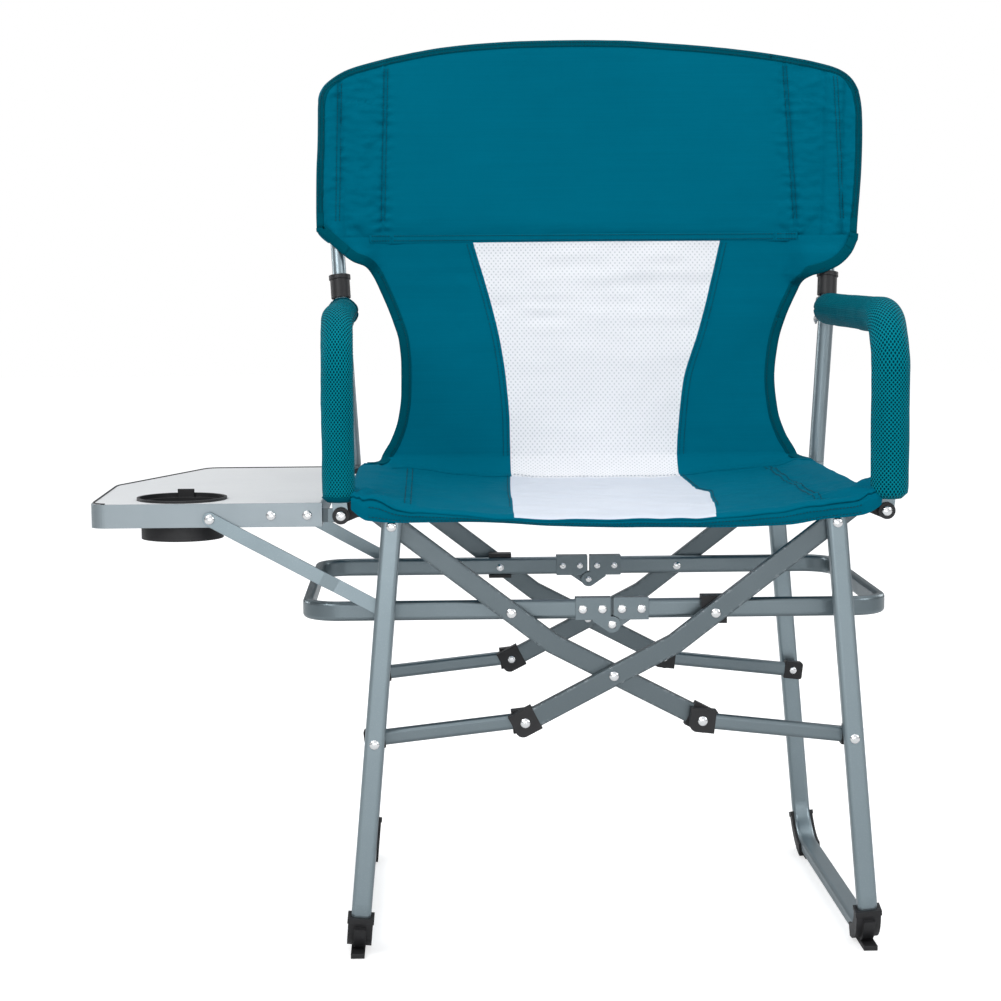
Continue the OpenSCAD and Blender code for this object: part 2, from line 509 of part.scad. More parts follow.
leg_tube_left();
leg_shoes_left();
leg_rivets_left();
leg_bushes_left();
leg_tube_right();
leg_shoes_right();
leg_rivets_right();
leg_bushes_right();
arms_left();
seat_rail_left();
rail_plugs_left();
arm_caps_left();
arm_rivets_left();
seat_sleeve_left();
hoop_clip_left();
arms_right();
seat_rail_right();
rail_plugs_right();
arm_caps_right();
arm_rivets_right();
seat_sleeve_right();
links_left();
link_caps_left();
link_rivets_left();
links_right();
link_caps_right();
link_rivets_right();
hoop_left();
hoop_brackets_left();
hoop_rivets_left();
hoop_right();
hoop_brackets_right();
hoop_rivets_right();
hoop_clip_right();
armrest_tube_left();
armrest_foam_left();
pivot_bolts_left();
pivot_rings_left();
armrest_tube_right();
armrest_foam_right();
pivot_bolts_right();
pivot_rings_right();
upper_post_left();
post_plates_left();
back_sleeve_left();
upper_post_right();
post_plates_right();
back_sleeve_right();
lock_collar_left();
lock_collar_right();
table_rim();
table_panel();
cup_holder();
table_straps();
table_rivets();
table_braces();
seat_panel_left();
seat_panel_right();
sling_middle();
back_panel();
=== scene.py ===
# Folding camp chair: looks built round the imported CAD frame. Lengths in the helpers are mm in the
# chair's own coordinates (x across, y back from the front leg faces, z up), W() turns them to the row frame.
import json
import math
import bpy
import numpy as np
from mathutils import Matrix, Vector, noise

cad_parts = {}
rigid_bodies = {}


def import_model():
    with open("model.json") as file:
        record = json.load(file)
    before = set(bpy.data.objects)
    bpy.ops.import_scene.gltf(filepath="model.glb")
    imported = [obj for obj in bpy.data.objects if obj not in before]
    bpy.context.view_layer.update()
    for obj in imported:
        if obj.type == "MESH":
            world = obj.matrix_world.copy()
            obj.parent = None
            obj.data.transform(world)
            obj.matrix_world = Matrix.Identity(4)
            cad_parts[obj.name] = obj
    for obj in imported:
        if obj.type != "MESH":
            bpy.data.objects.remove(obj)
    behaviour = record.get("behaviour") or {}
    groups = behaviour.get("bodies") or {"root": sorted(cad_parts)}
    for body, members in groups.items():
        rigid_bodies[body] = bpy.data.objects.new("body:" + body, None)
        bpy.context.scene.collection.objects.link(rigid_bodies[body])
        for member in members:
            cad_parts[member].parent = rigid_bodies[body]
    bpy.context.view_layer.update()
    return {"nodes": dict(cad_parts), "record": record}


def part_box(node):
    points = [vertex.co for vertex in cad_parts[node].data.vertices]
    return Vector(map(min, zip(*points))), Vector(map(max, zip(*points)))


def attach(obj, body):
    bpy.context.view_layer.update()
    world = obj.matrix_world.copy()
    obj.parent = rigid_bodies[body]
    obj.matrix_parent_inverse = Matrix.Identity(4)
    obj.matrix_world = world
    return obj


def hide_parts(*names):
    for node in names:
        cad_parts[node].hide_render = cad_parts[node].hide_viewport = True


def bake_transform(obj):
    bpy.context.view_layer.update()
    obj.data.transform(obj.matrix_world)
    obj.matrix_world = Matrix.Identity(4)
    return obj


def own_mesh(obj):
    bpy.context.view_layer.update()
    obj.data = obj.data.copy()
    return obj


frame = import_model()
scene = bpy.context.scene

_ll, _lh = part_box("leg_tube_left")
_rl, _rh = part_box("leg_tube_right")
CX = (_ll.x + _rh.x) / 2
CY = (_ll.y + _lh.y) / 2 - 0.215


def W(x, y, z):
    return Vector((x * 0.001 + CX, y * 0.001 + CY, z * 0.001))


# ------------------------------------------------------------------ camera
cam_data = bpy.data.cameras.new("view")
cam = bpy.data.objects.new("view", cam_data)
scene.collection.objects.link(cam)
scene.camera = cam
yaw, pitch, roll = math.radians(1.828), math.radians(5.914), math.radians(-0.358)
F = Vector((math.sin(yaw) * math.cos(pitch), math.cos(yaw) * math.cos(pitch), -math.sin(pitch)))
R = Vector((math.cos(yaw), -math.sin(yaw), 0))
U = R.cross(F)
R2 = R * math.cos(roll) + U * math.sin(roll)
U2 = -R * math.sin(roll) + U * math.cos(roll)
cam.matrix_world = Matrix.Translation(W(-186.4, -2258.7, 701.4)) @ Matrix((R2, U2, -F)).transposed().to_4x4()
cam_data.sensor_width = 36
cam_data.lens = 2286.3 / 1001 * 36
cam_data.dof.use_dof = False
cam_data.clip_start, cam_data.clip_end = 0.05, 60

# ------------------------------------------------------------------ stage and light
scene.view_settings.view_transform = "Standard"
scene.view_settings.look = "None"
world = bpy.data.worlds.new("studio")
scene.world = world
world.use_nodes = True
bg = world.node_tree.nodes["Background"]
bg.inputs["Color"].default_value = (0.93, 0.95, 0.97, 1)
bg.inputs["Strength"].default_value = 0.50
# the backdrop itself is plain white, the light that it gives is softer
_wt = world.node_tree
_tc = _wt.nodes.new("ShaderNodeTexCoord")
_sp = _wt.nodes.new("ShaderNodeSeparateXYZ")
_wt.links.new(_tc.outputs["Generated"], _sp.inputs[0])
_up = _wt.nodes.new("ShaderNodeMapRange")
_up.interpolation_type = "SMOOTHSTEP"
for _k, _v in zip(("From Min", "From Max", "To Min", "To Max"), (-0.15, 0.75, 0.09, 0.74)):
    _up.inputs[_k].default_value = _v
_wt.links.new(_sp.outputs[2], _up.inputs["Value"])
_fr = _wt.nodes.new("ShaderNodeMapRange")
_fr.interpolation_type = "SMOOTHSTEP"
for _k, _v in zip(("From Min", "From Max", "To Min", "To Max"), (0.35, 0.95, 0.0, 0.44)):
    _fr.inputs[_k].default_value = _v
_ng = _wt.nodes.new("ShaderNodeMath")
_ng.operation = "MULTIPLY"
_ng.inputs[1].default_value = -1.0
_wt.links.new(_sp.outputs[1], _ng.inputs[0])
_wt.links.new(_ng.outputs[0], _fr.inputs["Value"])
_sum = _wt.nodes.new("ShaderNodeMath")
_sum.operation = "ADD"
_wt.links.new(_up.outputs[0], _sum.inputs[0])
_wt.links.new(_fr.outputs[0], _sum.inputs[1])
_wt.links.new(_sum.outputs[0], bg.inputs["Strength"])
_white = _wt.nodes.new("ShaderNodeBackground")
_white.inputs["Color"].default_value = (1, 1, 1, 1)
_white.inputs["Strength"].default_value = 1.0
_lp = _wt.nodes.new("ShaderNodeLightPath")
_mx = _wt.nodes.new("ShaderNodeMixShader")
_wt.links.new(_lp.outputs["Is Camera Ray"], _mx.inputs[0])
_wt.links.new(bg.outputs[0], _mx.inputs[1])
_wt.links.new(_white.outputs[0], _mx.inputs[2])
_wt.links.new(_mx.outputs[0], _wt.nodes["World Output"].inputs["Surface"])


def light(name, loc, target, size, power, size_y=None, color=(1, 1, 1)):
    d = bpy.data.lights.new(name, "AREA")
    d.shape = "RECTANGLE"
    d.size = size
    d.size_y = size_y or size
    d.energy = power
    d.color = color
    o = bpy.data.objects.new(name, d)
    scene.collection.objects.link(o)
    o.location = loc
    o.rotation_mode = "QUATERNION"
    o.rotation_quaternion = (Vector(target) - Vector(loc)).to_track_quat("-Z", "Y")
    return o


light("key", (-1.7, -2.4, 2.4), (0, 0, 0.5), 1.6, 40)
light("fill", (2.4, -1.9, 1.5), (0, 0, 0.45), 1.4, 17)
light("top", (0.2, 0.3, 3.2), (0, 0, 0.4), 2.4, 23)
light("rim_left", (-2.6, 1.6, 1.2), (0, 0, 0.5), 1.2, 16)
light("rim_right", (2.6, 1.8, 1.3), (0, 0, 0.5), 1.2, 14)
light("low", (0.0, -2.6, 0.35), (0, 0, 0.3), 1.6, 4.5, 0.5)


# ------------------------------------------------------------------ material helpers
class Mat:
    def __init__(self, name):
        self.m = bpy.data.materials.new(name)
        self.m.use_nodes = True
        self.t = self.m.node_tree
        self.b = self.t.nodes["Principled BSDF"]

    def n(self, kind, **k):
        node = self.t.nodes.new(kind)
        for key, v in k.items():
            if key in node.inputs.keys():
                node.inputs[key].default_value = v
            else:
                setattr(node, key, v)
        return node

    def l(self, a, b):
        self.t.links.new(a, b)

    def set(self, **k):
        for key, v in k.items():
            self.b.inputs[key.replace("_", " ")].default_value = v

    def math(self, op, a, b=None, clamp=False):
        node = self.n("ShaderNodeMath", operation=op, use_clamp=clamp)
        for i, v in enumerate((a, b)):
            if v is None:
                continue
            if isinstance(v, (int, float)):
                node.inputs[i].default_value = v
            else:
                self.l(v, node.inputs[i])
        return node.outputs[0]

    def noise(self, co, scale, detail=3.0, rough=0.55):
        node = self.n("ShaderNodeTexNoise", Scale=scale, Detail=detail, Roughness=rough)
        self.l(co, node.inputs["Vector"])
        return node.outputs["Fac"]

    def ramp(self, fac, stops):
        node = self.n("ShaderNodeValToRGB")
        r = node.color_ramp
        while len(r.elements) < len(stops):
            r.elements.new(0.5)
        for e, (p, c) in zip(r.elements, stops):
            e.position = p
            e.color = (*c, 1) if len(c) == 3 else c
        self.l(fac, node.inputs["Fac"])
        return node.outputs["Color"]

    def mix(self, fac, a, b, mode="MIX"):
        node = self.n("ShaderNodeMix", data_type="RGBA", blend_type=mode)
        for sock, v in ((node.inputs[0], fac), (node.inputs[6], a), (node.inputs[7], b)):
            if isinstance(v, (int, float)):
                sock.default_value = v
            elif isinstance(v, tuple):
                sock.default_value = (*v, 1)
            else:
                self.l(v, sock)
        return node.outputs[2]

    def bump(self, height, strength, distance, normal=None):
        node = self.n("ShaderNodeBump", Strength=strength, Distance=distance)
        self.l(height, node.inputs["Height"])
        if normal is not None:
            self.l(normal, node.inputs["Normal"])
        return node.outputs["Normal"]

    def rounded(self, radius=0.0007):
        node = self.n("ShaderNodeBevel", samples=4)
        node.inputs["Radius"].default_value = radius
        return node.outputs["Normal"]

    def obj(self):
        return self.n("ShaderNodeTexCoord").outputs["Object"]

    def uv(self):
        return self.n("ShaderNodeTexCoord").outputs["UV"]

    def sep(self, v):
        node = self.n("ShaderNodeSeparateXYZ")
        self.l(v, node.inputs[0])
        return node.outputs


def edge_wear(m, normal):
    """Share of 0..1 that grows on sharp edges."""
    geo = m.n("ShaderNodeNewGeometry")
    dot = m.n("ShaderNodeVectorMath", operation="DOT_PRODUCT")
    m.l(geo.outputs["Normal"], dot.inputs[0])
    m.l(normal, dot.inputs[1])
    return m.math("MULTIPLY", m.math("SUBTRACT", 1.0, dot.outputs["Value"]), 5.0, True)


def paint(name="tube_paint", radius=0.0009, dark=1.0):
    m = Mat(name)
    co = m.obj()
    rn = m.rounded(radius)
    var = m.noise(co, 9.0, 4)
    fine = m.noise(co, 900.0, 2)
    worn = m.math("MULTIPLY", edge_wear(m, rn), m.math("GREATER_THAN", m.noise(co, 160.0, 4), 0.56), True)
    # dark below 1 darkens the whole paint colour: painted shade for the copies used on the frame under the seat and the
    # table
    base = m.mix(var, tuple(dark * c for c in (0.238, 0.298, 0.327)), tuple(dark * c for c in (0.290, 0.356, 0.388)))
    speck = m.mix(m.math("MULTIPLY", m.math("GREATER_THAN", fine, 0.62), 0.22), base, tuple(dark * c for c in (0.38, 0.44, 0.47)))
    m.l(m.mix(m.math("MULTIPLY", worn, 0.6), speck, (0.5, 0.53, 0.55)), m.b.inputs["Base Color"])
    m.l(m.math("ADD", m.math("MULTIPLY", m.noise(co, 40.0, 5), 0.14), 0.26), m.b.inputs["Roughness"])
    m.set(Metallic=0.85, Coat_Weight=0.12, Coat_Roughness=0.2)
    m.l(m.bump(m.noise(co, 650.0, 2), 0.06, 0.0003, rn), m.b.inputs["Normal"])
    return m.m


def plastic():
    m = Mat("black_plastic")
    co = m.obj()
    rn = m.rounded(0.0009)
    m.l(m.mix(m.noise(co, 60.0, 4), (0.012, 0.012, 0.013), (0.026, 0.026, 0.028)), m.b.inputs["Base Color"])
    m.l(m.math("ADD", m.math("MULTIPLY", m.noise(co, 300.0, 3), 0.2), 0.36), m.b.inputs["Roughness"])
    m.set(Specular_IOR_Level=0.36)
    m.l(m.bump(m.noise(co, 1400.0, 2), 0.25, 0.0004, rn), m.b.inputs["Normal"])
    return m.m


def chrome():
    m = Mat("rivet_chrome")
    co = m.obj()
    rn = m.rounded(0.0012)
    m.l(m.mix(m.noise(co, 300.0, 3), (0.80, 0.81, 0.82), (0.90, 0.91, 0.92)), m.b.inputs["Base Color"])
    m.l(m.math("ADD", m.math("MULTIPLY", m.noise(co, 500.0, 4), 0.16), 0.08), m.b.inputs["Roughness"])
    m.set(Metallic=1.0)
    m.l(m.bump(m.noise(co, 900.0, 3), 0.06, 0.0003, rn), m.b.inputs["Normal"])
    return m.m


def plated(name="plated_steel", lo=(0.36, 0.38, 0.40), hi=(0.52, 0.54, 0.56)):
    m = Mat(name)
    co = m.obj()
    rn = m.rounded(0.0006)
    stretch = m.n("ShaderNodeMapping")
    stretch.inputs["Scale"].default_value = (18, 18, 900)
    m.l(co, stretch.inputs["Vector"])
    streak = m.noise(stretch.outputs[0], 1.0, 4)
    m.l(m.mix(m.noise(co, 70.0, 5), lo, hi), m.b.inputs["Base Color"])
    m.l(m.math("ADD", m.math("MULTIPLY", streak, 0.25), 0.2), m.b.inputs["Roughness"])
    m.set(Metallic=1.0)
    m.l(m.bump(streak, 0.1, 0.0002, rn), m.b.inputs["Normal"])
    return m.m


def rim_metal():
    m = Mat("rim_metal")
    co = m.obj()
    rn = m.rounded(0.0008)
    stretch = m.n("ShaderNodeMapping")
    stretch.inputs["Scale"].default_value = (4, 4, 1600)
    m.l(co, stretch.inputs["Vector"])
    streak = m.noise(stretch.outputs[0], 1.0, 3)
    m.l(m.mix(m.noise(co, 12.0, 4), (0.27, 0.32, 0.345), (0.37, 0.42, 0.45)), m.b.inputs["Base Color"])
    m.l(m.math("ADD", m.math("MULTIPLY", streak, 0.16), 0.3), m.b.inputs["Roughness"])
    m.set(Metallic=0.7)
    m.l(m.bump(streak, 0.08, 0.0002, rn), m.b.inputs["Normal"])
    return m.m


def laminate():
    m = Mat("table_top")
    co = m.obj()
    speck = m.math("GREATER_THAN", m.noise(co, 1300.0, 2), 0.63)
    cloud = m.noise(co, 14.0, 5)
    base = m.mix(cloud, (0.68, 0.69, 0.70), (0.75, 0.76, 0.765))
    m.l(m.mix(m.math("MULTIPLY", speck, 0.25), base, (0.52, 0.53, 0.54)), m.b.inputs["Base Color"])
    m.l(m.math("ADD", m.math("MULTIPLY", m.noise(co, 220.0, 4), 0.22), 0.34), m.b.inputs["Roughness"])
    m.l(m.bump(m.noise(co, 1100.0, 2), 0.1, 0.0003), m.b.inputs["Normal"])
    return m.m


def waves(m, x, pitch):
    return m.math("SINE", m.math("MULTIPLY", x, 2 * math.pi / pitch))


def canvas(name="teal_canvas", lo=(0.0, 0.107, 0.172), hi=(0.0, 0.155, 0.242), rough=0.62):
    """Plain-woven coated polyester: the two thread directions follow the cloth's own UVs, in metres."""
    m = Mat(name)
    uv = m.uv()
    s = m.sep(uv)
    warp, weft = waves(m, s[0], 0.0011), waves(m, s[1], 0.0011)
    over = m.math("MULTIPLY", warp, weft)
    cloud = m.noise(uv, 6.0, 5)
    slub = m.n("ShaderNodeMapping")
    slub.inputs["Scale"].default_value = (7, 420, 1)
    m.l(uv, slub.inputs["Vector"])
    slubs = m.noise(slub.outputs[0], 1.0, 3)
    f = m.math("ADD", m.math("MULTIPLY", cloud, 0.55), m.math("MULTIPLY", slubs, 0.45))
    base = m.mix(f, lo, hi)
    base = m.mix(m.math("MULTIPLY", m.math("ADD", over, 1.0), 0.09), base, (0.0, 0.05, 0.08))
    m.l(base, m.b.inputs["Base Color"])
    m.l(m.math("ADD", m.math("MULTIPLY", slubs, 0.12), rough - 0.06), m.b.inputs["Roughness"])
    m.set(Sheen_Weight=0.03, Sheen_Roughness=0.45, Specular_IOR_Level=0.06, IOR=1.25)
    m.b.inputs["Sheen Tint"].default_value = (0.0, 0.7, 0.9, 1)
    m.b.inputs["Specular Tint"].default_value = (0.0, 0.75, 0.95, 1)
    crease = m.bump(m.noise(uv, 22.0, 4), 0.25, 0.004)
    m.l(m.bump(m.math("ADD", over, m.math("MULTIPLY", slubs, 1.2)), 0.28, 0.0004, crease), m.b.inputs["Normal"])
    return m.m


def white_mesh():
    """Warp-knit mesh: staggered round holes 3 mm apart."""
    m = Mat("white_mesh")
    uv = m.uv()
    s = m.sep(uv)
    a, b = waves(m, s[0], 0.0054), waves(m, s[1], 0.0064)
    d = m.math("MULTIPLY", a, b)
    hole = m.n("ShaderNodeMapRange", interpolation_type="SMOOTHSTEP")
    m.l(d, hole.inputs["Value"])
    hole.inputs["From Min"].default_value = 0.30
    hole.inputs["From Max"].default_value = 0.85
    cloud = m.noise(uv, 9.0, 4)
    base = m.mix(cloud, (0.80, 0.81, 0.845), (0.87, 0.88, 0.91))
    m.l(m.mix(m.math("MULTIPLY", hole.outputs[0], 0.8), base, (0.50, 0.53, 0.56)), m.b.inputs["Base Color"])
    m.set(Roughness=0.7, Sheen_Weight=0.15, Sheen_Roughness=0.4)
    ridge = m.bump(m.noise(uv, 30.0, 3), 0.2, 0.003)
    m.l(m.bump(m.math("MULTIPLY", hole.outputs[0], -1.0), 0.5, 0.0006, ridge), m.b.inputs["Normal"])
    return m.m


def white_cloth():
    m = Mat("seat_strip")
    uv = m.uv()
    s = m.sep(uv)
    warp, weft = waves(m, s[0], 0.0012), waves(m, s[1], 0.0017)
    over = m.math("MULTIPLY", warp, weft)
    rib = m.math("ADD", m.math("MULTIPLY", m.noise(uv, 12.0, 5), 0.7), m.math("MULTIPLY", over, 0.15))
    m.l(m.mix(rib, (0.62, 0.67, 0.76), (0.74, 0.78, 0.85)), m.b.inputs["Base Color"])
    m.set(Roughness=0.6, Sheen_Weight=0.2, Sheen_Roughness=0.4)
    crease = m.bump(m.noise(uv, 26.0, 4), 0.3, 0.004)
    m.l(m.bump(over, 0.25, 0.0004, crease), m.b.inputs["Normal"])
    return m.m


def spacer():
    """Air-spacer mesh: a diamond net of bright strands over dark cells; the cells' dark colour is partly the net's
    pattern and partly painted shade in their depth.
    """
    m = Mat("spacer_mesh")
    uv = m.uv()
    s = m.sep(uv)
    a = m.math("ADD", m.math("DIVIDE", s[0], 0.0034), m.math("DIVIDE", s[1], 0.0044))
    b = m.math("SUBTRACT", m.math("DIVIDE", s[0], 0.0034), m.math("DIVIDE", s[1], 0.0044))
    wa = m.math("ABSOLUTE", m.math("SINE", m.math("MULTIPLY", a, math.pi)))
    wb = m.math("ABSOLUTE", m.math("SINE", m.math("MULTIPLY", b, math.pi)))
    cell = m.math("MULTIPLY", wa, wb)
    hole = m.n("ShaderNodeMapRange", interpolation_type="SMOOTHSTEP")
    m.l(cell, hole.inputs["Value"])
    hole.inputs["From Min"].default_value = 0.30
    hole.inputs["From Max"].default_value = 0.72
    cloud = m.noise(uv, 20.0, 4)
    base = m.mix(cloud, (0.0, 0.165, 0.222), (0.003, 0.235, 0.305))
    # the net's colour is darker along the level top part of the armrest, where the net lies flat: painted shade
    level_shade = m.n("ShaderNodeMapRange", interpolation_type="SMOOTHSTEP")
    m.l(s[1], level_shade.inputs["Value"])
    level_shade.inputs["From Min"].default_value = 0.15
    level_shade.inputs["From Max"].default_value = 0.25
    base = m.mix(m.math("MULTIPLY", level_shade.outputs[0], 0.45), base, (0.0, 0.07, 0.095))
    # the dark cell colour: partly the net's pattern, partly painted shade in the cells' depth
    m.l(m.mix(hole.outputs[0], base, (0.0, 0.030, 0.044)), m.b.inputs["Base Color"])
    m.set(Roughness=0.55, Sheen_Weight=0.05, Sheen_Roughness=0.35, Specular_IOR_Level=0.09, IOR=1.25)
    m.b.inputs["Sheen Tint"].default_value = (0.0, 0.8, 1.0, 1)
    m.b.inputs["Specular Tint"].default_value = (0.1, 0.8, 0.95, 1)
    m.l(m.bump(m.math("MULTIPLY", hole.outputs[0], -1.0), 0.8, 0.0012), m.b.inputs["Normal"])
    return m.m


def thread(name, lo, hi):
    m = Mat(name)
    co = m.obj()
    m.l(m.mix(m.noise(co, 700.0, 3), lo, hi), m.b.inputs["Base Color"])
    m.l(m.math("ADD", m.math("MULTIPLY", m.noise(co, 500.0, 2), 0.2), 0.45), m.b.inputs["Roughness"])
    m.set(Sheen_Weight=0.05, Sheen_Roughness=0.3, Specular_IOR_Level=0.15)
    m.l(m.bump(m.noise(co, 2500.0, 2), 0.4, 0.0002), m.b.inputs["Normal"])
    return m.m


# darker copies of the tube paint for the arms, the hoops and links, and the hoop brackets and table straps: painted
# shade where the seat and the table shade the frame below them
PAINT_ARM_SHADED, PAINT_TAB_SHADED = paint("tube_paint_arm_shaded", 0.0034, 0.48), paint("tube_paint_bracket_shaded", 0.0008, 0.62)
PAINT_HOOP_SHADED = paint("tube_paint_hoop_shaded", 0.0009, 0.68)
PAINT, PLASTIC, CHROME, PLATED, RIM, TOP = paint(), plastic(), chrome(), plated(), rim_metal(), laminate()
TEAL, MESH, STRIP, SPACER = canvas(), white_mesh(), white_cloth(), spacer()
BIND = canvas("teal_binding", (0.0, 0.064, 0.094), (0.0, 0.092, 0.132), 0.6)
THREAD = thread("teal_thread", (0.0, 0.030, 0.044), (0.0, 0.055, 0.078))
THREAD_W = thread("white_thread", (0.36, 0.40, 0.44), (0.55, 0.58, 0.62))
EDGING = plastic()
EDGING.name = "edge_strip"

slot_of = {s["node"]: s["material_slot"] for s in frame["record"]["subparts"]}
by_slot = {"tube_paint": PAINT, "black_plastic": PLASTIC, "rivet_chrome": CHROME, "plated_steel": PLATED,
           "rim_metal": RIM, "table_top": TOP, "teal_canvas": TEAL, "spacer_mesh": SPACER}
for n, o in frame["nodes"].items():
    o.data.materials.clear()
    # the arms, hoops, links, brackets and straps get the darker copies of the tube paint: painted shade
    o.data.materials.append(PAINT_ARM_SHADED if n.startswith("arms_") else PAINT_HOOP_SHADED if n.startswith(("hoop_left", "hoop_right", "links_")) else PAINT_TAB_SHADED if n.startswith(("hoop_brackets", "table_straps")) else by_slot[slot_of[n]])


# ------------------------------------------------------------------ mesh helpers
def build(name, verts, faces, mat, body, uvs=None, smooth=True):
    """verts in chair mm."""
    me = bpy.data.meshes.new(name)
    me.from_pydata([W(*v) for v in verts], [], faces)
    if uvs is not None:
        layer = me.uv_layers.new(name="UVMap")
        flat = np.zeros(len(me.loops) * 2)
        idx = np.zeros(len(me.loops), int)
        me.loops.foreach_get("vertex_index", idx)
        u = np.array(uvs, float)[idx]
        layer.data.foreach_set("uv", u.ravel())
    me.materials.append(mat)
    if smooth:
        me.polygons.foreach_set("use_smooth", [True] * len(me.polygons))
    me.update()
    o = bpy.data.objects.new(name, me)
    scene.collection.objects.link(o)
    if body:
        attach(o, body)
    return o


def grid_faces(n, m, close_u=False, close_v=False, base=0, flip=False):
    f = []
    for i in range(n if close_u else n - 1):
        for j in range(m if close_v else m - 1):
            a, b = base + i * m + j, base + ((i + 1) % n) * m + j
            c, d = base + ((i + 1) % n) * m + (j + 1) % m, base + i * m + (j + 1) % m
            f.append((a, d, c, b) if flip else (a, b, c, d))
    return f


def uv_of(P):
    """Arc-length UVs in metres for a grid of points in mm."""
    du = np.zeros(P.shape[:2])
    du[1:] = np.cumsum(np.linalg.norm(np.diff(P, axis=0), axis=2), axis=0)
    dv = np.zeros(P.shape[:2])
    dv[:, 1:] = np.cumsum(np.linalg.norm(np.diff(P, axis=1), axis=2), axis=1)
    mid = P.shape[1] // 2
    dv -= dv[:, mid:mid + 1]
    return np.stack([dv, du], axis=2).reshape(-1, 2) * 0.001


def grid_normals(P):
    du = np.gradient(P, axis=0)
    dv = np.gradient(P, axis=1)
    n = np.cross(dv, du)
    n /= np.linalg.norm(n, axis=2)[:, :, None] + 1e-12
    return n


def cloth(name, P, mat, body, thick=1.1, flip=False, uvs=None, N=None):
    """A sheet of real thickness: two layers and a rim, each shaded with its own normals, so that patches join unseen."""
    n, m = P.shape[:2]
    N = grid_normals(P) if N is None else N
    if flip:
        N = -N
    h = thick / 2
    V = np.concatenate([(P + N * h).reshape(-1, 3), (P - N * h).reshape(-1, 3)])
    k = n * m
    faces, loops = [], []
    flatN = N.reshape(-1, 3)
    for i in range(n - 1):
        for j in range(m - 1):
            q = (i * m + j, i * m + j + 1, (i + 1) * m + j + 1, (i + 1) * m + j)
            if flip:
                q = tuple(reversed(q))
            faces.append(q)
            loops += [flatN[v] for v in q]
            q = tuple(v + k for v in reversed(q))
            faces.append(q)
            loops += [-flatN[v - k] for v in q]
    rim = [i * m for i in range(n)] + [(n - 1) * m + j for j in range(1, m)] + [i * m + m - 1 for i in range(n - 2, -1, -1)] + [j for j in range(m - 2, 0, -1)]
    for a, b in zip(rim, rim[1:] + rim[:1]):
        q = (a, b, b + k, a + k)
        if flip:
            q = tuple(reversed(q))
        e1, e2 = V[q[1]] - V[q[0]], V[q[3]] - V[q[0]]
        fn = np.cross(e1, e2)
        fn = fn / (np.linalg.norm(fn) + 1e-12)
        faces.append(q)
        loops += [fn] * 4
    uv = uv_of(P) if uvs is None else uvs
    o = build(name, V, faces, mat, body, np.concatenate([uv, uv]))
    if len(o.data.loops) == len(loops):
        o.data.normals_split_custom_set([tuple(x) for x in loops])
    e1, e2 = P[1:, :-1] - P[:-1, :-1], P[:-1, 1:] - P[:-1, :-1]
    return o


def bake(o):
    """Applies the modifiers, so that the mesh is final."""
    dg = bpy.context.evaluated_depsgraph_get()
    me = bpy.data.meshes.new_from_object(o.evaluated_get(dg))
    old = o.data
    o.modifiers.clear()
    o.data = me
    bpy.data.meshes.remove(old)
    return o


def pchip(xs, ys):
    xs, ys = np.array(xs, float), np.array(ys, float)
    h = np.diff(xs)
    d = np.diff(ys) / h
    m = np.zeros(len(xs))
    for i in range(1, len(xs) - 1):
        if d[i - 1] * d[i] > 0:
            w1, w2 = 2 * h[i] + h[i - 1], h[i] + 2 * h[i - 1]
            m[i] = (w1 + w2) / (w1 / d[i - 1] + w2 / d[i])
    m[0], m[-1] = d[0], d[-1]

    def f(x):
        x = np.clip(np.asarray(x, float), xs[0], xs[-1])
        i = np.clip(np.searchsorted(xs, x, side="right") - 1, 0, len(xs) - 2)
        t = (x - xs[i]) / h[i]
        return ((1 + 2 * t) * (1 - t) ** 2 * ys[i] + t * (1 - t) ** 2 * h[i] * m[i]
                + t * t * (3 - 2 * t) * ys[i + 1] + t * t * (t - 1) * h[i] * m[i + 1])
    return f


def uv_back(P):
    """Continuous over the whole back: across by x, up by the height along the slope."""
    return np.stack([P[:, :, 0], P[:, :, 2] * 1.02 - np.minimum(P[:, :, 1] - 400.0, 0.0) * -1.0], axis=2).reshape(-1, 2) * 0.001


def uv_seat(P):
    return np.stack([P[:, :, 0], P[:, :, 1]], axis=2).reshape(-1, 2) * 0.001


def smooth01(t):
    t = min(1.0, max(0.0, t))
    return t * t * (3 - 2 * t)


def nz(x, y, z, scale, seed=0.0):
    return noise.noise(Vector((x / scale + seed, y / scale - seed * 0.7, z / scale + seed * 1.3)))


# ------------------------------------------------------------------ the sling's surface
TAN12 = math.tan(math.radians(12))
TANL = math.tan(math.radians(3.5))
COS12 = math.cos(math.radians(12))


def post_axis(z):
    """Centre of the upper post at height z, as (|x|, y)."""
    return 273 + 181 * TANL + (z - 634) * TANL / COS12, 426.6 + (z - 632) * TAN12


HALF_L = pchip([455, 466, 479, 497, 522, 551, 583, 611, 634, 668, 692, 700, 705, 717, 741],
                [247, 243, 238.5, 228, 219.3, 215.6, 215.3, 217.6, 224.3, 238, 250, 257, 270, 286, 313])
HALF_R = pchip([455, 466, 483, 501, 528, 565, 606, 638, 668, 680, 686, 690, 699, 716, 728],
                [255, 251, 243.6, 233.5, 224.9, 221.7, 226.8, 237, 251, 257.5, 266, 281, 300, 316, 322])
half_mean = pchip([455, 466, 478, 496, 522, 551, 583, 611, 634, 668, 690, 700, 707, 718, 741],
                 [246, 242, 237, 228, 219.5, 215.5, 214.5, 217, 223, 237, 250, 261, 271, 287, 315])
prof_y = pchip([452, 455, 460, 470, 490, 520, 560, 600, 634, 680, 727, 745], [380, 391, 396, 400.5, 406, 413, 421.5, 429.5, 436, 441.5, 447, 450.5])
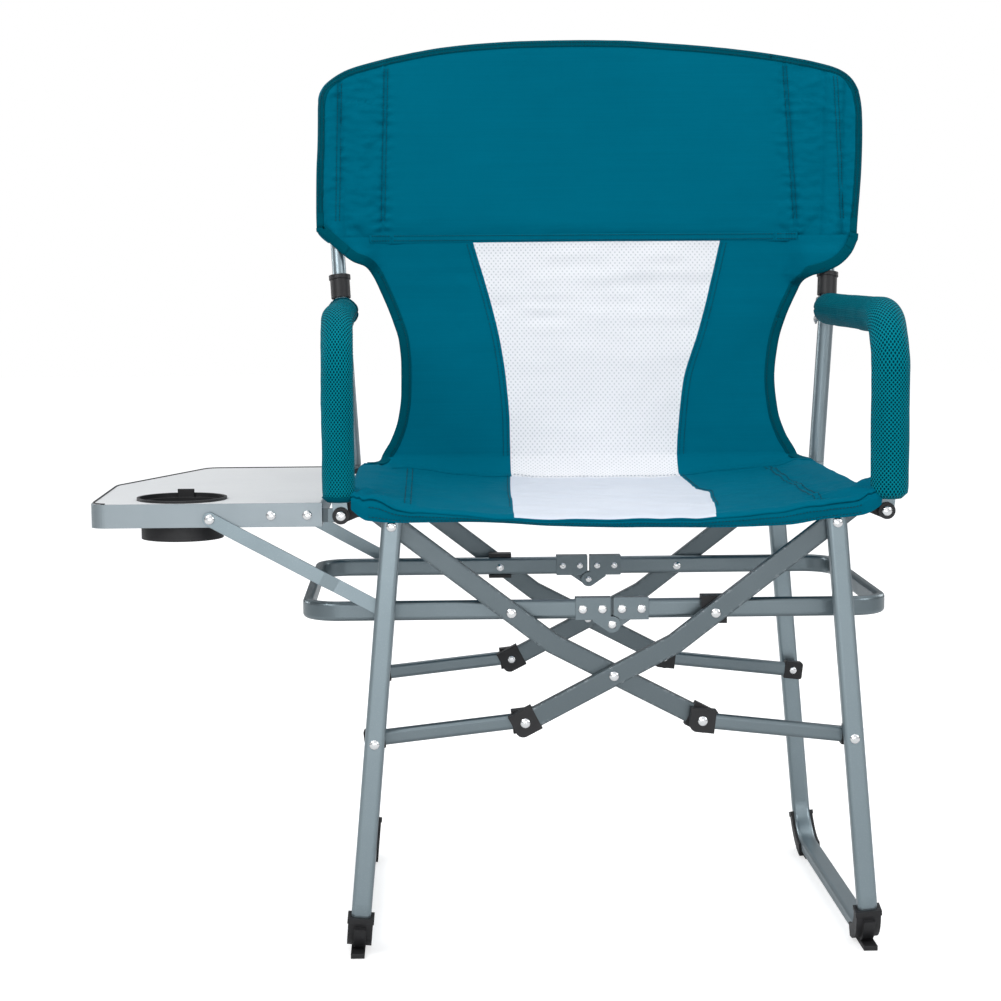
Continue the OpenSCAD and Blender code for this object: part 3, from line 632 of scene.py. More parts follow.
TOP = pchip([-312, -309, -303, -290, -277, -247, -217, -156, -110, -67, 0, 47, 97, 150, 206, 250, 291, 312, 325, 330, 334],
            [896, 904, 913, 923, 930, 939, 946.6, 957.4, 961.8, 964, 965, 964.3, 961.2, 957, 950.5, 943.5, 934.7, 927, 916, 907, 897])


def top_z(x):
    return TOP(x)
MESH_L = pchip([452, 457, 514, 567, 609, 651, 727], [89.5, 89.5, 89.8, 93.5, 99.5, 109, 130.6])
MESH_R = pchip([452, 457, 486, 515, 562, 628, 727], [104.9, 104.9, 105.9, 108.5, 114.7, 136, 161])


def half_low(z, s=1):
    return (HALF_L if s < 0 else HALF_R)(z)


def mesh_half(z, s=1):
    return (MESH_L if s < 0 else MESH_R)(z)


def seat_z(x, y):
    """Top of the seat cloth: it hangs between the rails."""
    a = abs(x) / 256.0
    mid = 453.0 - 3.2 * math.exp(-((y - 190) / 120.0) ** 2) + 1.5 * (y / 398.0) - 2.2 * math.exp(-((y - 0) / 50.0) ** 2)
    z = mid + (474.0 - mid) * min(a, 1.06) ** 2.6
    z += 6.5 * max(0.0, min(1.0, (a - 0.86) / 0.14)) * math.exp(-((y - 22) / 26.0) ** 2)
    return z


def seat_w(x, y):
    sgn = -1 if x < 0 else 1
    dx, dy = 258 - abs(x), y + 6
    d = math.hypot(dx, dy)
    an = math.atan2(dy, dx)
    corner = 4.0 * math.sin(an * 8.0 + 1.3 * sgn + 2.0 * nz(x, y, 0, 40, 1.7)) * min(1.0, d / 26.0) * math.exp(-(d / 62.0) ** 2)
    dy2 = 396 - y
    d2 = math.hypot(dx, dy2)
    corner += 3.2 * math.sin(math.atan2(dy2, dx) * 7.0 + sgn) * min(1.0, d2 / 30.0) * math.exp(-(d2 / 60.0) ** 2)
    for ax_ in (203.5, 209.5):
        near = math.exp(-((abs(x) - ax_) / 7.0) ** 2)
        corner += 0.9 * near * math.sin(y * 0.55 + 2.5 * nz(0, y, 0, 30, ax_))
    fold = corner + 1.6 * math.exp(-((abs(x) - 190) / 30.0) ** 2) * math.sin(y / 9.0 + abs(x) * 0.05) * 0.35
    return seat_z(x, y) + 2.2 * nz(x, y * 1.6, 0, 60, 9.1) + 1.3 * nz(x, y * 1.5, 0, 24, 2.7) + fold


def wrinkle(x, y, z):
    """Small offset of the cloth along its normal, in mm."""
    w = 1.6 * nz(x, y, z, 75, 3.1) + 0.7 * nz(x, y, z, 28, 8.2)
    return w


def back_point(x, z):
    """Single layer below the top panel."""
    y = float(prof_y(z))
    e = abs(x) / float(half_low(z, x))
    # the sides are pulled a little forward where the cut-outs stretch the cloth
    y += -2.5 * max(0.0, e) ** 2 * math.sin(math.pi * min(max((z - 470) / 250, 0), 1))
    y += 2.0 * nz(x * 0.3, 0, z, 15, 5.0) * (0.35 + 0.65 * math.exp(-((z - 670) / 60) ** 2)) * (1 if abs(x) < 150 else 0.4)
    y += wrinkle(x, y, z) * 0.9
    # where it widens under the panel it passes in front of the posts
    px, py = post_axis(z)
    t = smooth01((abs(x) - 236) / 30.0) * smooth01((z - (672 if x > 0 else 686)) / 15.0)
    if t:
        y = y * (1 - t) + (py - 10.8 - 4.0 * smooth01((724 - z) / 14.0) + 0.5 * nz(x, y, z, 30, 6.6)) * t
    return [x, y, z]


def lower_rows():
    zs = list(np.linspace(0, 1, 64))
    return zs


def back_patch(x_of, z0, z1, nz_, nx, y_bend=True):
    """x_of(z) -> (xa, xb). Rows from z0 up to z1."""
    P = np.zeros((nz_, nx, 3))
    for i in range(nz_):
        z = z0 + (z1 - z0) * i / (nz_ - 1)
        xa, xb = x_of(z)
        for j in range(nx):
            P[i, j] = back_point(xa + (xb - xa) * j / (nx - 1), z)
    return P


ZH = 634.0        # the height of the posts' hinges, where the cloth is split between two bodies
ZS = 727.0        # the seam under the top panel
ZB = 457.0        # where the back meets the seat
YB = 393.0


def seat_top(x, y):
    """Height of the finished seat cloth, also where it lies over the rail."""
    ax = abs(x)
    if ax <= 243:
        return seat_w(x, y)
    if ax <= 260:
        t = (ax - 243) / 17.0
        return seat_w(math.copysign(243, x), y) * (1 - t) + 471.8 * t
    return 460 + 12.5 * math.sqrt(max(0.05, 1 - ((ax - 256) / 11.6) ** 2))


def join_low(P):
    """The lowest rows of the back curve forward onto the seat and lie on it, sewn down."""
    out = []
    for k in range(-2, 9):
        t = max(0, k) / 9.0
        row = P[0].copy()
        for j in range(row.shape[0]):
            x = row[j, 0]
            e = abs(x) / float(half_low(ZL, x))
            x *= 1 + 0.088 * (1 - t) ** 1.6 * smooth01((e - 0.5) / 0.5)
            if k < 0:
                y = YB - 14 + 5.5 * k
                row[j] = [x, y, seat_top(x, y) + 0.9]
                continue
            y0, z0 = YB - 14, seat_top(x, YB - 14) + 0.9
            y1, z1 = P[0, j, 1], P[0, j, 2]
            # quadratic curve through the corner
            cy, cz = YB - 2, z0 + 0.3
            row[j] = [x, (1 - t) ** 2 * y0 + 2 * t * (1 - t) * cy + t * t * y1, (1 - t) ** 2 * z0 + 2 * t * (1 - t) * cz + t * t * z1]
        out.append(row)
    return np.concatenate([np.array(out), P], axis=0)


ZL = 478.0


def low_side(s):
    return lambda z: (s * float(mesh_half(z, s)), s * float(half_low(z, s)))


def low_mid(z):
    return (-float(mesh_half(z, -1)), float(mesh_half(z, 1)))


EDGE_LOW = {}
for s, side in ((-1, "left"), (1, "right")):
    P = join_low(back_patch(low_side(s), ZL, ZH, 52, 30))
    EDGE_LOW[s] = [list(P[k, -1]) for k in range(3, 11)]
    o = cloth("back_lower_" + side, P, TEAL, "side_left", flip=(s < 0), uvs=uv_back(P))
    o["sq"] = 1
P = join_low(back_patch(low_mid, ZL, ZH, 60, 52))
o = cloth("back_mesh_lower", P, MESH, "side_left", uvs=uv_back(P))
o["sq"] = 1
for s, side in ((-1, "left"), (1, "right")):
    P = back_patch(low_side(s), ZH, ZS + 6, 34, 30)
    o = cloth("back_wing_" + side, P, TEAL, "post_left", flip=(s < 0), uvs=uv_back(P))
    o["sq"] = 1
P = back_patch(low_mid, ZH, ZS + 6, 40, 52)
o = cloth("back_mesh_upper", P, MESH, "post_left", uvs=uv_back(P))
o["sq"] = 1

# ------------------------------------------------------------------ top panel: a flat pocket over both posts


EDGE_L = pchip([700, 705, 717, 741, 760, 809, 845, 880, 930], [257, 270, 286, 313, 313.6, 313.2, 311.6, 311.2, 311.6])
EDGE_R = pchip([680, 686, 690, 699, 716, 728, 745, 817, 860, 880, 905, 930], [257.5, 266, 281, 300, 316, 322, 323.6, 331, 333.2, 333.4, 330.8, 330])


def edge_half(z, s=1):
    return float((EDGE_L if s < 0 else EDGE_R)(z))


def seam_x(z, s):
    """The two stitched lines of the pocket, inner and outer."""
    t = (z - 755) / 174.0
    return (236 - 4.8 * t, 288.8 - 3.3 * t) if s < 0 else (250 - 7.2 * t, 305.7 - 4.4 * t)


def panel_y(x, z, side):
    """side -1 is the front layer, +1 the back layer."""
    px, py = post_axis(z)
    ax = abs(x)
    half = edge_half(z, x)
    bottom = min(1.0, max(0.0, (z - ZS) / 26.0))
    bottom = bottom * bottom * (3 - 2 * bottom)
    bottom = max(bottom, smooth01((ax - (px - 36)) / 20.0))
    top = min(1.0, max(0.0, (float(top_z(x)) - z) / 16.0))
    top = math.sqrt(top)
    post_top = 634 + 268 * COS12
    # round the post the layers stand 9 mm apart from its centre, and close at the outer edge and the seam inside it
    d = ax - px
    over = 10.2 * math.sqrt(max(0.0, 1 - (d / 14.0) ** 2)) if abs(d) < 14 else 0.0
    inner = 3.0 + 3.6 * math.exp(-((ax - 262) / 22.0) ** 2)
    inner *= min(1.0, max(0.0, (half - ax) / 9.0))
    sd = -1 if x < 0 else 1
    s_in, s_out = seam_x(z, sd)
    seam = 0.75 * math.exp(-((ax - s_out) / 3.0) ** 2) + 0.85 * math.exp(-((ax - s_in) / 3.0) ** 2)
    off = max(over, inner * (1 - seam) + 0.8)
    if z > post_top - 4:
        off = min(off, 3.0 + over * 0.6 + 1.0)
    off *= (0.2 + 0.8 * top) * (0.25 + 0.75 * bottom)
    # between the posts the cloth hollows slightly back
    hollow = 5.0 * max(0.0, 1 - (ax / 255.0) ** 2)
    base = 447 + (z - ZS) * TAN12
    y = py * bottom + base * (1 - bottom)
    puff = 0.0
    if 205 < ax and side < 0:
        env = smooth01((ax - 222) / 14.0)
        puff = env * (3.2 * nz(x * 1.3, 0, z * 0.9, 24, 4.4) + 2.4 * nz(x * 1.2, 0, z * 2.6, 20, 1.4) + 1.2 * nz(x * 2.0, 0, z * 3.0, 22, 6.1))
        for sx, am in ((s_in, 2.3), (s_out, 1.8)):
            near = math.exp(-((ax - sx) / 9.0) ** 2) * (1 - math.exp(-((ax - sx) / 2.2) ** 2))
            puff += am * near * math.sin(z * 0.52 + 3 * nz(0, 0, z, 40, sx)) * (0.6 + 0.8 * nz(0, 0, z, 50, 2 + sx))
        puff -= 0.85 * max(0.0, puff) * math.exp(-(d / 13.0) ** 2)
    w = 1.3 * nz(x, 0, z, 90, 2.2) + 0.6 * nz(x * 0.6, 0, z, 34, 7.7)
    w += 1.2 * nz(x * 0.25, 0, z, 12, 6.0) * math.exp(-((z - ZS - 12) / 20.0) ** 2)
    return y + hollow + side * off + (w + puff) * 0.8


def panel_layer(side):
    xs = sorted(set(list(np.linspace(-226, 226, 66)) + list(np.linspace(226, 321, 54)) + list(-np.linspace(226, 321, 54))))
    tz = np.linspace(0, 1, 110)
    P = np.zeros((len(tz), len(xs), 3))
    for j, xu in enumerate(xs):
        for i, t in enumerate(tz):
            k = xu / 321.0
            # rows run from the bottom seam to the curved top
            x = xu
            x = k * edge_half(900, k) if abs(k) > 0.7 else xu + (k * edge_half(900, k) - xu) * (max(0.0, abs(k) - 0.4) / 0.3)
            zt = float(top_z(x))
            zb = ZS
            z = zb + (zt - zb) * t
            half = edge_half(z, k)
            x = k * half if abs(k) > 0.7 else xu + (k * half - xu) * (max(0.0, abs(k) - 0.4) / 0.3)
            P[i, j] = [x, panel_y(x, z, side), z]
    return P


PF = panel_layer(-1)
PB = panel_layer(1)
# front and back share their rim, so the pocket is closed at the top and sides
for Q in (PF, PB):
    pass
mid = (PF + PB) / 2
for k, w in ((0, 1.0), (1, 0.45)):
    for A in (PF, PB):
        A[-1 - k, :] = A[-1 - k, :] * (1 - w) + mid[-1 - k, :] * w
        A[:, k] = A[:, k] * (1 - w) + mid[:, k] * w
        A[:, -1 - k] = A[:, -1 - k] * (1 - w) + mid[:, -1 - k] * w
XP = 226.0        # a pocket reaches this far in from its post; the cloth between the pockets is made as a separate middle part
for nm, A, fl in (("front", PF, False), ("back", PB, True)):
    NA = grid_normals(A)
    kl = 53
    for part, cut, body in (("left", slice(0, kl + 1), "post_left"), ("middle", slice(kl, A.shape[1] - kl), "post_left"), ("right", slice(A.shape[1] - kl - 1, A.shape[1]), "post_right")):
        o = cloth("top_panel_%s_%s" % (nm, part), A[:, cut], TEAL, body, thick=1.0, flip=fl, uvs=uv_back(A[:, cut]), N=NA[:, cut])
        if part == "middle":
            o["sq"] = 3

# ------------------------------------------------------------------ seat
SLEEVE_R = 11.6
strip_l = pchip([-10, 30, 120, 204, 396], [-101, -100.5, -98, -96.5, -90])
strip_r = pchip([-10, 50, 150, 205, 209, 228, 232, 300, 396], [100, 106, 114, 118.5, 118, 110.5, 108.5, 107.5, 105.5])
Y0, Y1 = 52.0, 379.0


def seat_patch(xa, xb, ya, yb, nx, ny):
    P = np.zeros((ny, nx, 3))
    for i in range(ny):
        y = ya + (yb - ya) * i / (ny - 1)
        a, b = xa(y), xb(y)
        for j in range(nx):
            x = a + (b - a) * j / (nx - 1)
            P[i, j] = [x, y, seat_w(x, y)]
    return P


def seat_half(s):
    """Teal half: from the white strip over the rail, round it and back under to the sleeve's stitches."""
    rows = []
    ys = np.linspace(Y0, Y1, 66)
    for y in ys:
        inner = float(strip_l(y)) if s < 0 else float(strip_r(y))
        row = []
        for x in np.linspace(abs(inner), 243, 30):
            row.append([s * x, y, seat_w(s * x, y)])
        r = SLEEVE_R + 0.8 * nz(s * 40, y, 0, 26, 3.3)
        # from the top of the sleeve round the rail
        for a in np.linspace(70, -100, 26)[0:]:
            ra = math.radians(a)
            row.append([s * (256 + r * math.cos(ra)), y, 460 + (r + 0.6) * math.sin(ra) * (1.0 if a < 0 else 1.03)])
        zb = row[-1][2]
        for t in np.linspace(0.06, 1, 14):
            x = 254 + (203 - 254) * t
            zt = seat_w(s * x, y) - 2.2
            row.append([s * x, y, zb + (zt - zb) * (t ** 0.8)])
        rows.append(row)
    return np.array(rows)


for s, side in ((-1, "left"), (1, "right")):
    P = seat_half(s)
    o = cloth("seat_cloth_" + side, P, TEAL, None, thick=1.1, flip=(s > 0))
    o["bl"] = side
    if s < 0:
        Q = seat_patch(lambda y: float(strip_l(y)), lambda y: 0.0, Y0, Y1, 16, 60)
    else:
        Q = seat_patch(lambda y: 0.0, lambda y: float(strip_r(y)), Y0, Y1, 16, 60)
    o = cloth("seat_strip_" + side, Q, STRIP, "seat_" + side, thick=1.0, uvs=uv_seat(Q))


# front band: the cloth ahead of y 52 rides the left armrest
def band_outer(y, s=1):
    return 266.0 if s > 0 else 262.5


def hem_z(x):
    """Lower edge of the front hem."""
    return float(pchip([-269, -262, -247, -212, -170, -131, -60, 4, 60, 104, 173, 207, 247, 262, 269],
                       [467, 460, 449, 446.5, 447, 446.5, 442, 440, 439.5, 439, 441, 446, 450, 457, 464])(x))


def band_grid(xa, xb, nx):
    rows = []
    for y in np.linspace(Y0, 2, 16):
        a, b = xa(y), xb(y)
        rows.append([[x, y, seat_w(x, y)] for x in np.linspace(a, b, nx)])
    a, b = xa(-8), xb(-8)
    for k, t in enumerate((0.15, 0.29, 0.43, 0.56, 0.60, 0.64, 0.76, 0.88, 1.0)):
        row = []
        for x in np.linspace(a, b, nx):
            zt = seat_w(x, 0)
            zb = hem_z(x)
            ang = t * math.pi / 2
            if t < 0.6:
                yy = 2 - 9 * math.sin(ang / 0.6 * 1.0 if ang / 0.6 < math.pi / 2 else math.pi / 2)
                zz = zt - 5 * (1 - math.cos(min(ang / 0.6, math.pi / 2)))
            else:
                u = (t - 0.6) / 0.4
                yy = -7 - 0.6 * math.sin(u * math.pi) + 3.6 * u * u + 1.6 * nz(x, 0, 40 * u, 34, 5.5) * (0.3 + u)
                zz = (zt - 5) + (zb - (zt - 5)) * u
            if k == 4:
                # the crease above the rolled hem, deeper towards the corners
                yy += 2.0 + 2.6 * math.exp(-((abs(x) - 236) / 34.0) ** 2)
                zz += 0.8 * nz(x, 0, 0, 30, 7.9)
            elif k == 5:
                yy -= 0.9
            row.append([x, yy, zz])
        rows.append(row)
    return np.array(rows)


for s, side in ((-1, "left"), (1, "right")):
    if s < 0:
        P = band_grid(lambda y: -band_outer(y, -1), lambda y: float(strip_l(y)), 60)
    else:
        P = band_grid(lambda y: float(strip_r(y)), lambda y: band_outer(y), 60)
    o = cloth("front_band_" + side, P, TEAL, "side_left", flip=True)
    o["sq"] = 2
P = band_grid(lambda y: float(strip_l(y)), lambda y: float(strip_r(y)), 40)
o = cloth("front_strip", P[:19], STRIP, "side_left", flip=True)
o["sq"] = 2
o = cloth("front_hem_middle", P[18:], TEAL, "side_left", flip=True)
o["sq"] = 2


# ------------------------------------------------------------------ bindings and stitches
def frames(path):
    path = np.array(path, float)
    t = np.gradient(path, axis=0)
    t /= np.linalg.norm(t, axis=1)[:, None] + 1e-9
    return path, t


def resample(path, step):
    path = np.array(path, float)
    d = np.concatenate([[0], np.cumsum(np.linalg.norm(np.diff(path, axis=0), axis=1))])
    n = max(2, int(round(d[-1] / step)) + 1)
    s = np.linspace(0, d[-1], n)
    return np.stack([np.interp(s, d, path[:, k]) for k in range(3)], axis=1)


def binding(name, path, inward, body, width=11.0, thick=1.6, normal=(0, -1, 0), mat=None, over=None):
    """A folded tape over an edge: path is the edge, inward the direction onto the cloth at each point."""
    path, t = frames(path)
    inw = np.array(inward, float)
    if inw.ndim == 1:
        inw = np.tile(inw, (len(path), 1))
    inw = inw - (inw * t).sum(1)[:, None] * t
    inw /= np.linalg.norm(inw, axis=1)[:, None] + 1e-9
    nn = np.cross(t, inw)
    flip = np.sign((nn @ np.array(normal, float)))
    nn *= np.where(flip == 0, 1, flip)[:, None]
    sec = [(width, 0.55), (width - 1.2, 1.0), (width * 0.62, 0.86), (width * 0.3, 1.05), (0.6, 0.92), (-0.9, 0.0), (0.6, -0.92), (width * 0.3, -1.05), (width * 0.62, -0.86), (width - 1.2, -1.0), (width, -0.55)]
    P = np.zeros((len(path), len(sec), 3))
    for j, (a, b) in enumerate(sec):
        P[:, j] = path + inw * a + nn * b * thick
    for i in range(len(path)):
        w = 0.35 * nz(*path[i], 13, 2.0)
        P[i] += nn[i] * w
    if over is not None:
        for i in range(len(path)):
            for j, (a, b) in enumerate(sec):
                if b:
                    x, y, z = P[i, j]
                    lay = over(x, z, -1 if b > 0 else 1)
                    P[i, j, 1] = min(y, lay - 1.3 * b) if b > 0 else max(y, lay - 1.3 * b)
    n, m = P.shape[:2]
    faces = grid_faces(n, m, close_v=True)
    faces.append(tuple(range(m)))
    faces.append(tuple(reversed(range((n - 1) * m, n * m))))
    o = build(name, P.reshape(-1, 3), faces, mat or BIND, body, uv_of(P))
    return o


def stitches(name, paths, body, normal, pitch=3.4, length=2.5, r=0.42, mat=None, lift=0.35):
    """Rows of separate thread stitches; paths lie on the cloth, normal points out of it."""
    ring = 6
    V, Fc = [], []
    for path, nrm in [(p, normal) if not isinstance(p, tuple) else p for p in paths]:
        pts = resample(path, pitch)
        _, t = frames(pts)
        for i in range(len(pts) - 1):
            c = (pts[i] + pts[i + 1]) / 2
            d = t[i] / (np.linalg.norm(t[i]) + 1e-9)
            nv = np.array(nrm, float) - d * np.dot(nrm, d)
            nv /= np.linalg.norm(nv) + 1e-9
            side = np.cross(d, nv)
            base = len(V)
            prof = [(-0.5, 0.25, -0.5), (-0.32, 0.9, 0.35), (0, 1.0, 0.75), (0.32, 0.9, 0.35), (0.5, 0.25, -0.5)]
            for a, rad, up in prof:
                for k in range(ring):
                    an = 2 * math.pi * k / ring
                    V.append(list(c + d * a * length + side * math.cos(an) * r * rad + nv * (math.sin(an) * r * rad + lift * up + lift * 0.5)))
            Fc += grid_faces(len(prof), ring, close_v=True, base=base)
            Fc.append(tuple(base + k for k in range(ring)))
            Fc.append(tuple(base + (len(prof) - 1) * ring + k for k in reversed(range(ring))))
    return build(name, V, Fc, mat or THREAD, body)


def side_path(s, z0, z1, n):
    return [back_point(s * float(half_low(z, s)), z) for z in np.linspace(z0, z1, n)]


for s, side in ((-1, "left"), (1, "right")):
    p = EDGE_LOW[s] + side_path(s, ZL, ZH, 60)
    o = binding("edge_tape_lower_" + side, p, (-s, 0, 0.0), "side_left")
    o["sq"] = 1
    zc = 744 if s < 0 else 734
    q = [back_point(s * (float(half_low(z, s)) if z < (740 if s < 0 else 727) else edge_half(z, s)), z) for z in np.linspace(ZH, zc, 60)]
    q = [[p_[0], p_[1], p_[2]] for p_ in q]
    inw = [(-s, 0, 0) if z < 684 else (-s * 0.6, 0, 0.8) if z < 736 else (-s, 0, 0.2) for z in np.linspace(ZH, zc, 60)]
    cut = next(i for i, p_ in enumerate(q) if p_[2] > 712)
    o = binding("edge_tape_upper_" + side, q[:cut + 1], inw[:cut + 1], "post_left")
    o["sq"] = 1
    binding("edge_tape_corner_" + side, q[cut:], inw[cut:], "post_" + side)
    # stitch rows along the tapes and along the mesh
    rows = []
    for off in (8.6,):
        rows.append([np.array(back_point(s * (float(half_low(z, s)) - off), z)) + np.array([0, -2.0, 0]) for z in np.linspace(ZL, ZH - 1, 50)])
    for off in (3.0, 8.0):
        rows.append([np.array(back_point(s * (float(mesh_half(z, s)) + off), z)) + np.array([0, -0.7, 0]) for z in np.linspace(ZL, ZH - 1, 50)])
    o = stitches("stitches_lower_" + side, rows, "side_left", (0, -1, 0.1))
    o["sq"] = 1
    rows = [[np.array(back_point(s * (float(half_low(z, s)) - 8.6), z)) + np.array([0, -2.0, 0]) for z in np.linspace(ZH + 1, 694, 26)]]
    for off in (3.0, 8.0):
        rows.append([np.array(back_point(s * (float(mesh_half(z, s)) + off), z)) + np.array([0, -0.7, 0]) for z in np.linspace(ZH + 1, ZS - 2, 30)])
    o = stitches("stitches_upper_" + side, rows, "post_left", (0, -1, 0.2))
    o["sq"] = 1
    # pocket seams beside the post and the hem further in
    rows = []
    for w_, off in ((0, -2.2), (0, 2.2), (1, -2.2), (1, 2.2)):
        rows.append([[s * (seam_x(z, s)[w_] + off), panel_y(s * (seam_x(z, s)[w_] + off), z, -1) - 0.7, z] for z in np.linspace(752, float(top_z(s * seam_x(920, s)[w_])) - 11, 60)])
    stitches("stitches_pocket_" + side, rows, "post_" + side, (0, -1, 0.2))

# tape over the panel's curved top and its two sides
edge = []
inward = []
for z in np.linspace(744, 893, 34):
    x = -edge_half(z, -1)
    edge.append([x, post_axis(z)[1], z])
    inward.append([1, 0, 0])
for x in np.linspace(-310.5, 331, 190):
    z = float(top_z(x))
    edge.append([x, (panel_y(x, z, -1) + panel_y(x, z, 1)) / 2, z])
    inward.append([0, -TAN12, -1])
for z in np.linspace(897, 734, 36):
    x = edge_half(z)
    edge.append([x, post_axis(z)[1], z])
    inward.append([-1, 0, 0])
edge = np.array(edge)
inward = np.array(inward, float)
for _ in range(4):
    edge[1:-1] = edge[1:-1] * 0.5 + (edge[:-2] + edge[2:]) * 0.25
    inward[1:-1] = inward[1:-1] * 0.5 + (inward[:-2] + inward[2:]) * 0.25
off_in = inward / np.linalg.norm(inward, axis=1)[:, None]
HEM = (("left", -252, -XP, "post_left"), ("middle", -XP, XP, "post_left"), ("right", XP, 252, "post_right"))
for part, xa, xb, body in HEM:
    pick = [i for i in range(len(edge)) if (part == "left" and edge[i, 0] <= xb) or (part == "right" and edge[i, 0] >= xa) or (part == "middle" and xa <= edge[i, 0] <= xb)]
    a, b = pick[0], pick[-1] + 1
    a, b = max(0, a - (part != "left")), min(len(edge), b + (part != "right"))
    made = [binding("top_tape_" + part, edge[a:b], inward[a:b], body, width=8.2, thick=2.2, over=panel_y)]
    rows = []
    for off in (2.2, 6.3):
        e2 = edge[a:b] + off_in[a:b] * off
        e2[:, 1] = [min(q[1] - 2.6, panel_y(q[0], q[2], -1) - 1.6) for q in e2]
        rows.append(e2[4 if part == "left" else 0:-4 if part == "right" else None])
    for zz in (ZS + 1.8, ZS + 7.4):
        rows.append([[x, min(panel_y(x, zz, -1), back_point(x, min(zz, ZS + 6))[1]) - 2.0, zz] for x in np.linspace(xa + 2, xb - 2, 120 if part == "middle" else 8)])
    made.append(stitches("stitches_top_" + part, rows, body, (0, -1, 0.2)))
    # the folded lower hem of the panel, a flat tape across the seam
    hem = [[x, panel_y(x, ZS, -1) - 0.9, ZS - 0.6 - 1.2 * max(0.0, -x) / 284] for x in np.linspace(xa, xb, 120 if part == "middle" else 10)]
    made.append(binding("panel_hem_" + part, hem, (0, TAN12, 1), body, width=10.0, thick=0.8, mat=TEAL,
                        over=lambda x, z, side: min(panel_y(x, max(z, ZS), -1), back_point(x, min(z, ZS + 6))[1])))
    if part == "middle":
        for o in made:
            o["sq"] = 3

# seat: sleeve stitches, the mesh's dotted seam and the strip's edges
for s, side in ((-1, "left"), (1, "right")):
    rows = []
    for ax in (203.5, 209.5):
        rows.append([[s * ax, y, seat_w(s * ax, y) + 0.9] for y in np.linspace(Y0 + 1, Y1 - 2, 80)])
    f = strip_l if s < 0 else strip_r
    for off in (3.0,):
        rows.append([[float(f(y)) + s * off, y, seat_w(float(f(y)) + s * off, y) + 0.9] for y in np.linspace(Y0 + 1, Y1 - 2, 90)])
    stitches("stitches_seat_" + side, rows, "seat_" + side, (0, 0, 1))
rows = []
for ax in (-209.5, -203.5, 203.5, 209.5):
    rows.append([[ax, y, seat_w(ax, y) + 0.9] for y in np.linspace(3, Y0 - 1, 14)])
for k in (0.35, 0.8):
    rows.append(([[x, -7.9, (seat_w(x, 0) - 5) * (1 - k) + hem_z(x) * k] for x in np.linspace(-246, 246, 120)], (0, -1, 0)))
o = stitches("stitches_front", [(r, (0, 0, 1)) if not isinstance(r, tuple) else r for r in rows], "side_left", (0, 0, 1))
o["sq"] = 2
rows = [[[x, YB - 21, seat_top(x, YB - 21) + 1.9] for x in np.linspace(-88, 102, 60)]]
o = stitches("stitches_bend", rows, "side_left", (0, -0.3, 1), pitch=4.2, length=2.6, r=0.6, mat=THREAD_W)
o["sq"] = 2


# ------------------------------------------------------------------ padded armrest sleeves
def arm_path(s, n=90):
    """Centre line of the armrest tube inside the foam."""
    lo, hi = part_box("armrest_foam_right")
    x0 = 275.0
    yaw_ = math.atan((634 - 450) * TANL * 0.6 / 366.0)
    pts = []
    L1, L2, B = 592 - 468, 398 - 58, 55
    arc = B * math.pi / 2
    tot = L1 + arc + L2
    for d in np.linspace(0, tot, n):
        if d < L1:
            y, z = 0, 468 + d
        elif d < L1 + arc:
            a = (d - L1) / B
            y, z = B - B * math.cos(a), 592 + B * math.sin(a)
        else:
            y, z = B + d - L1 - arc, 647
        pts.append([s * (x0 + y * math.sin(yaw_)), 3 + y * math.cos(yaw_), z])
    return np.array(pts), tot


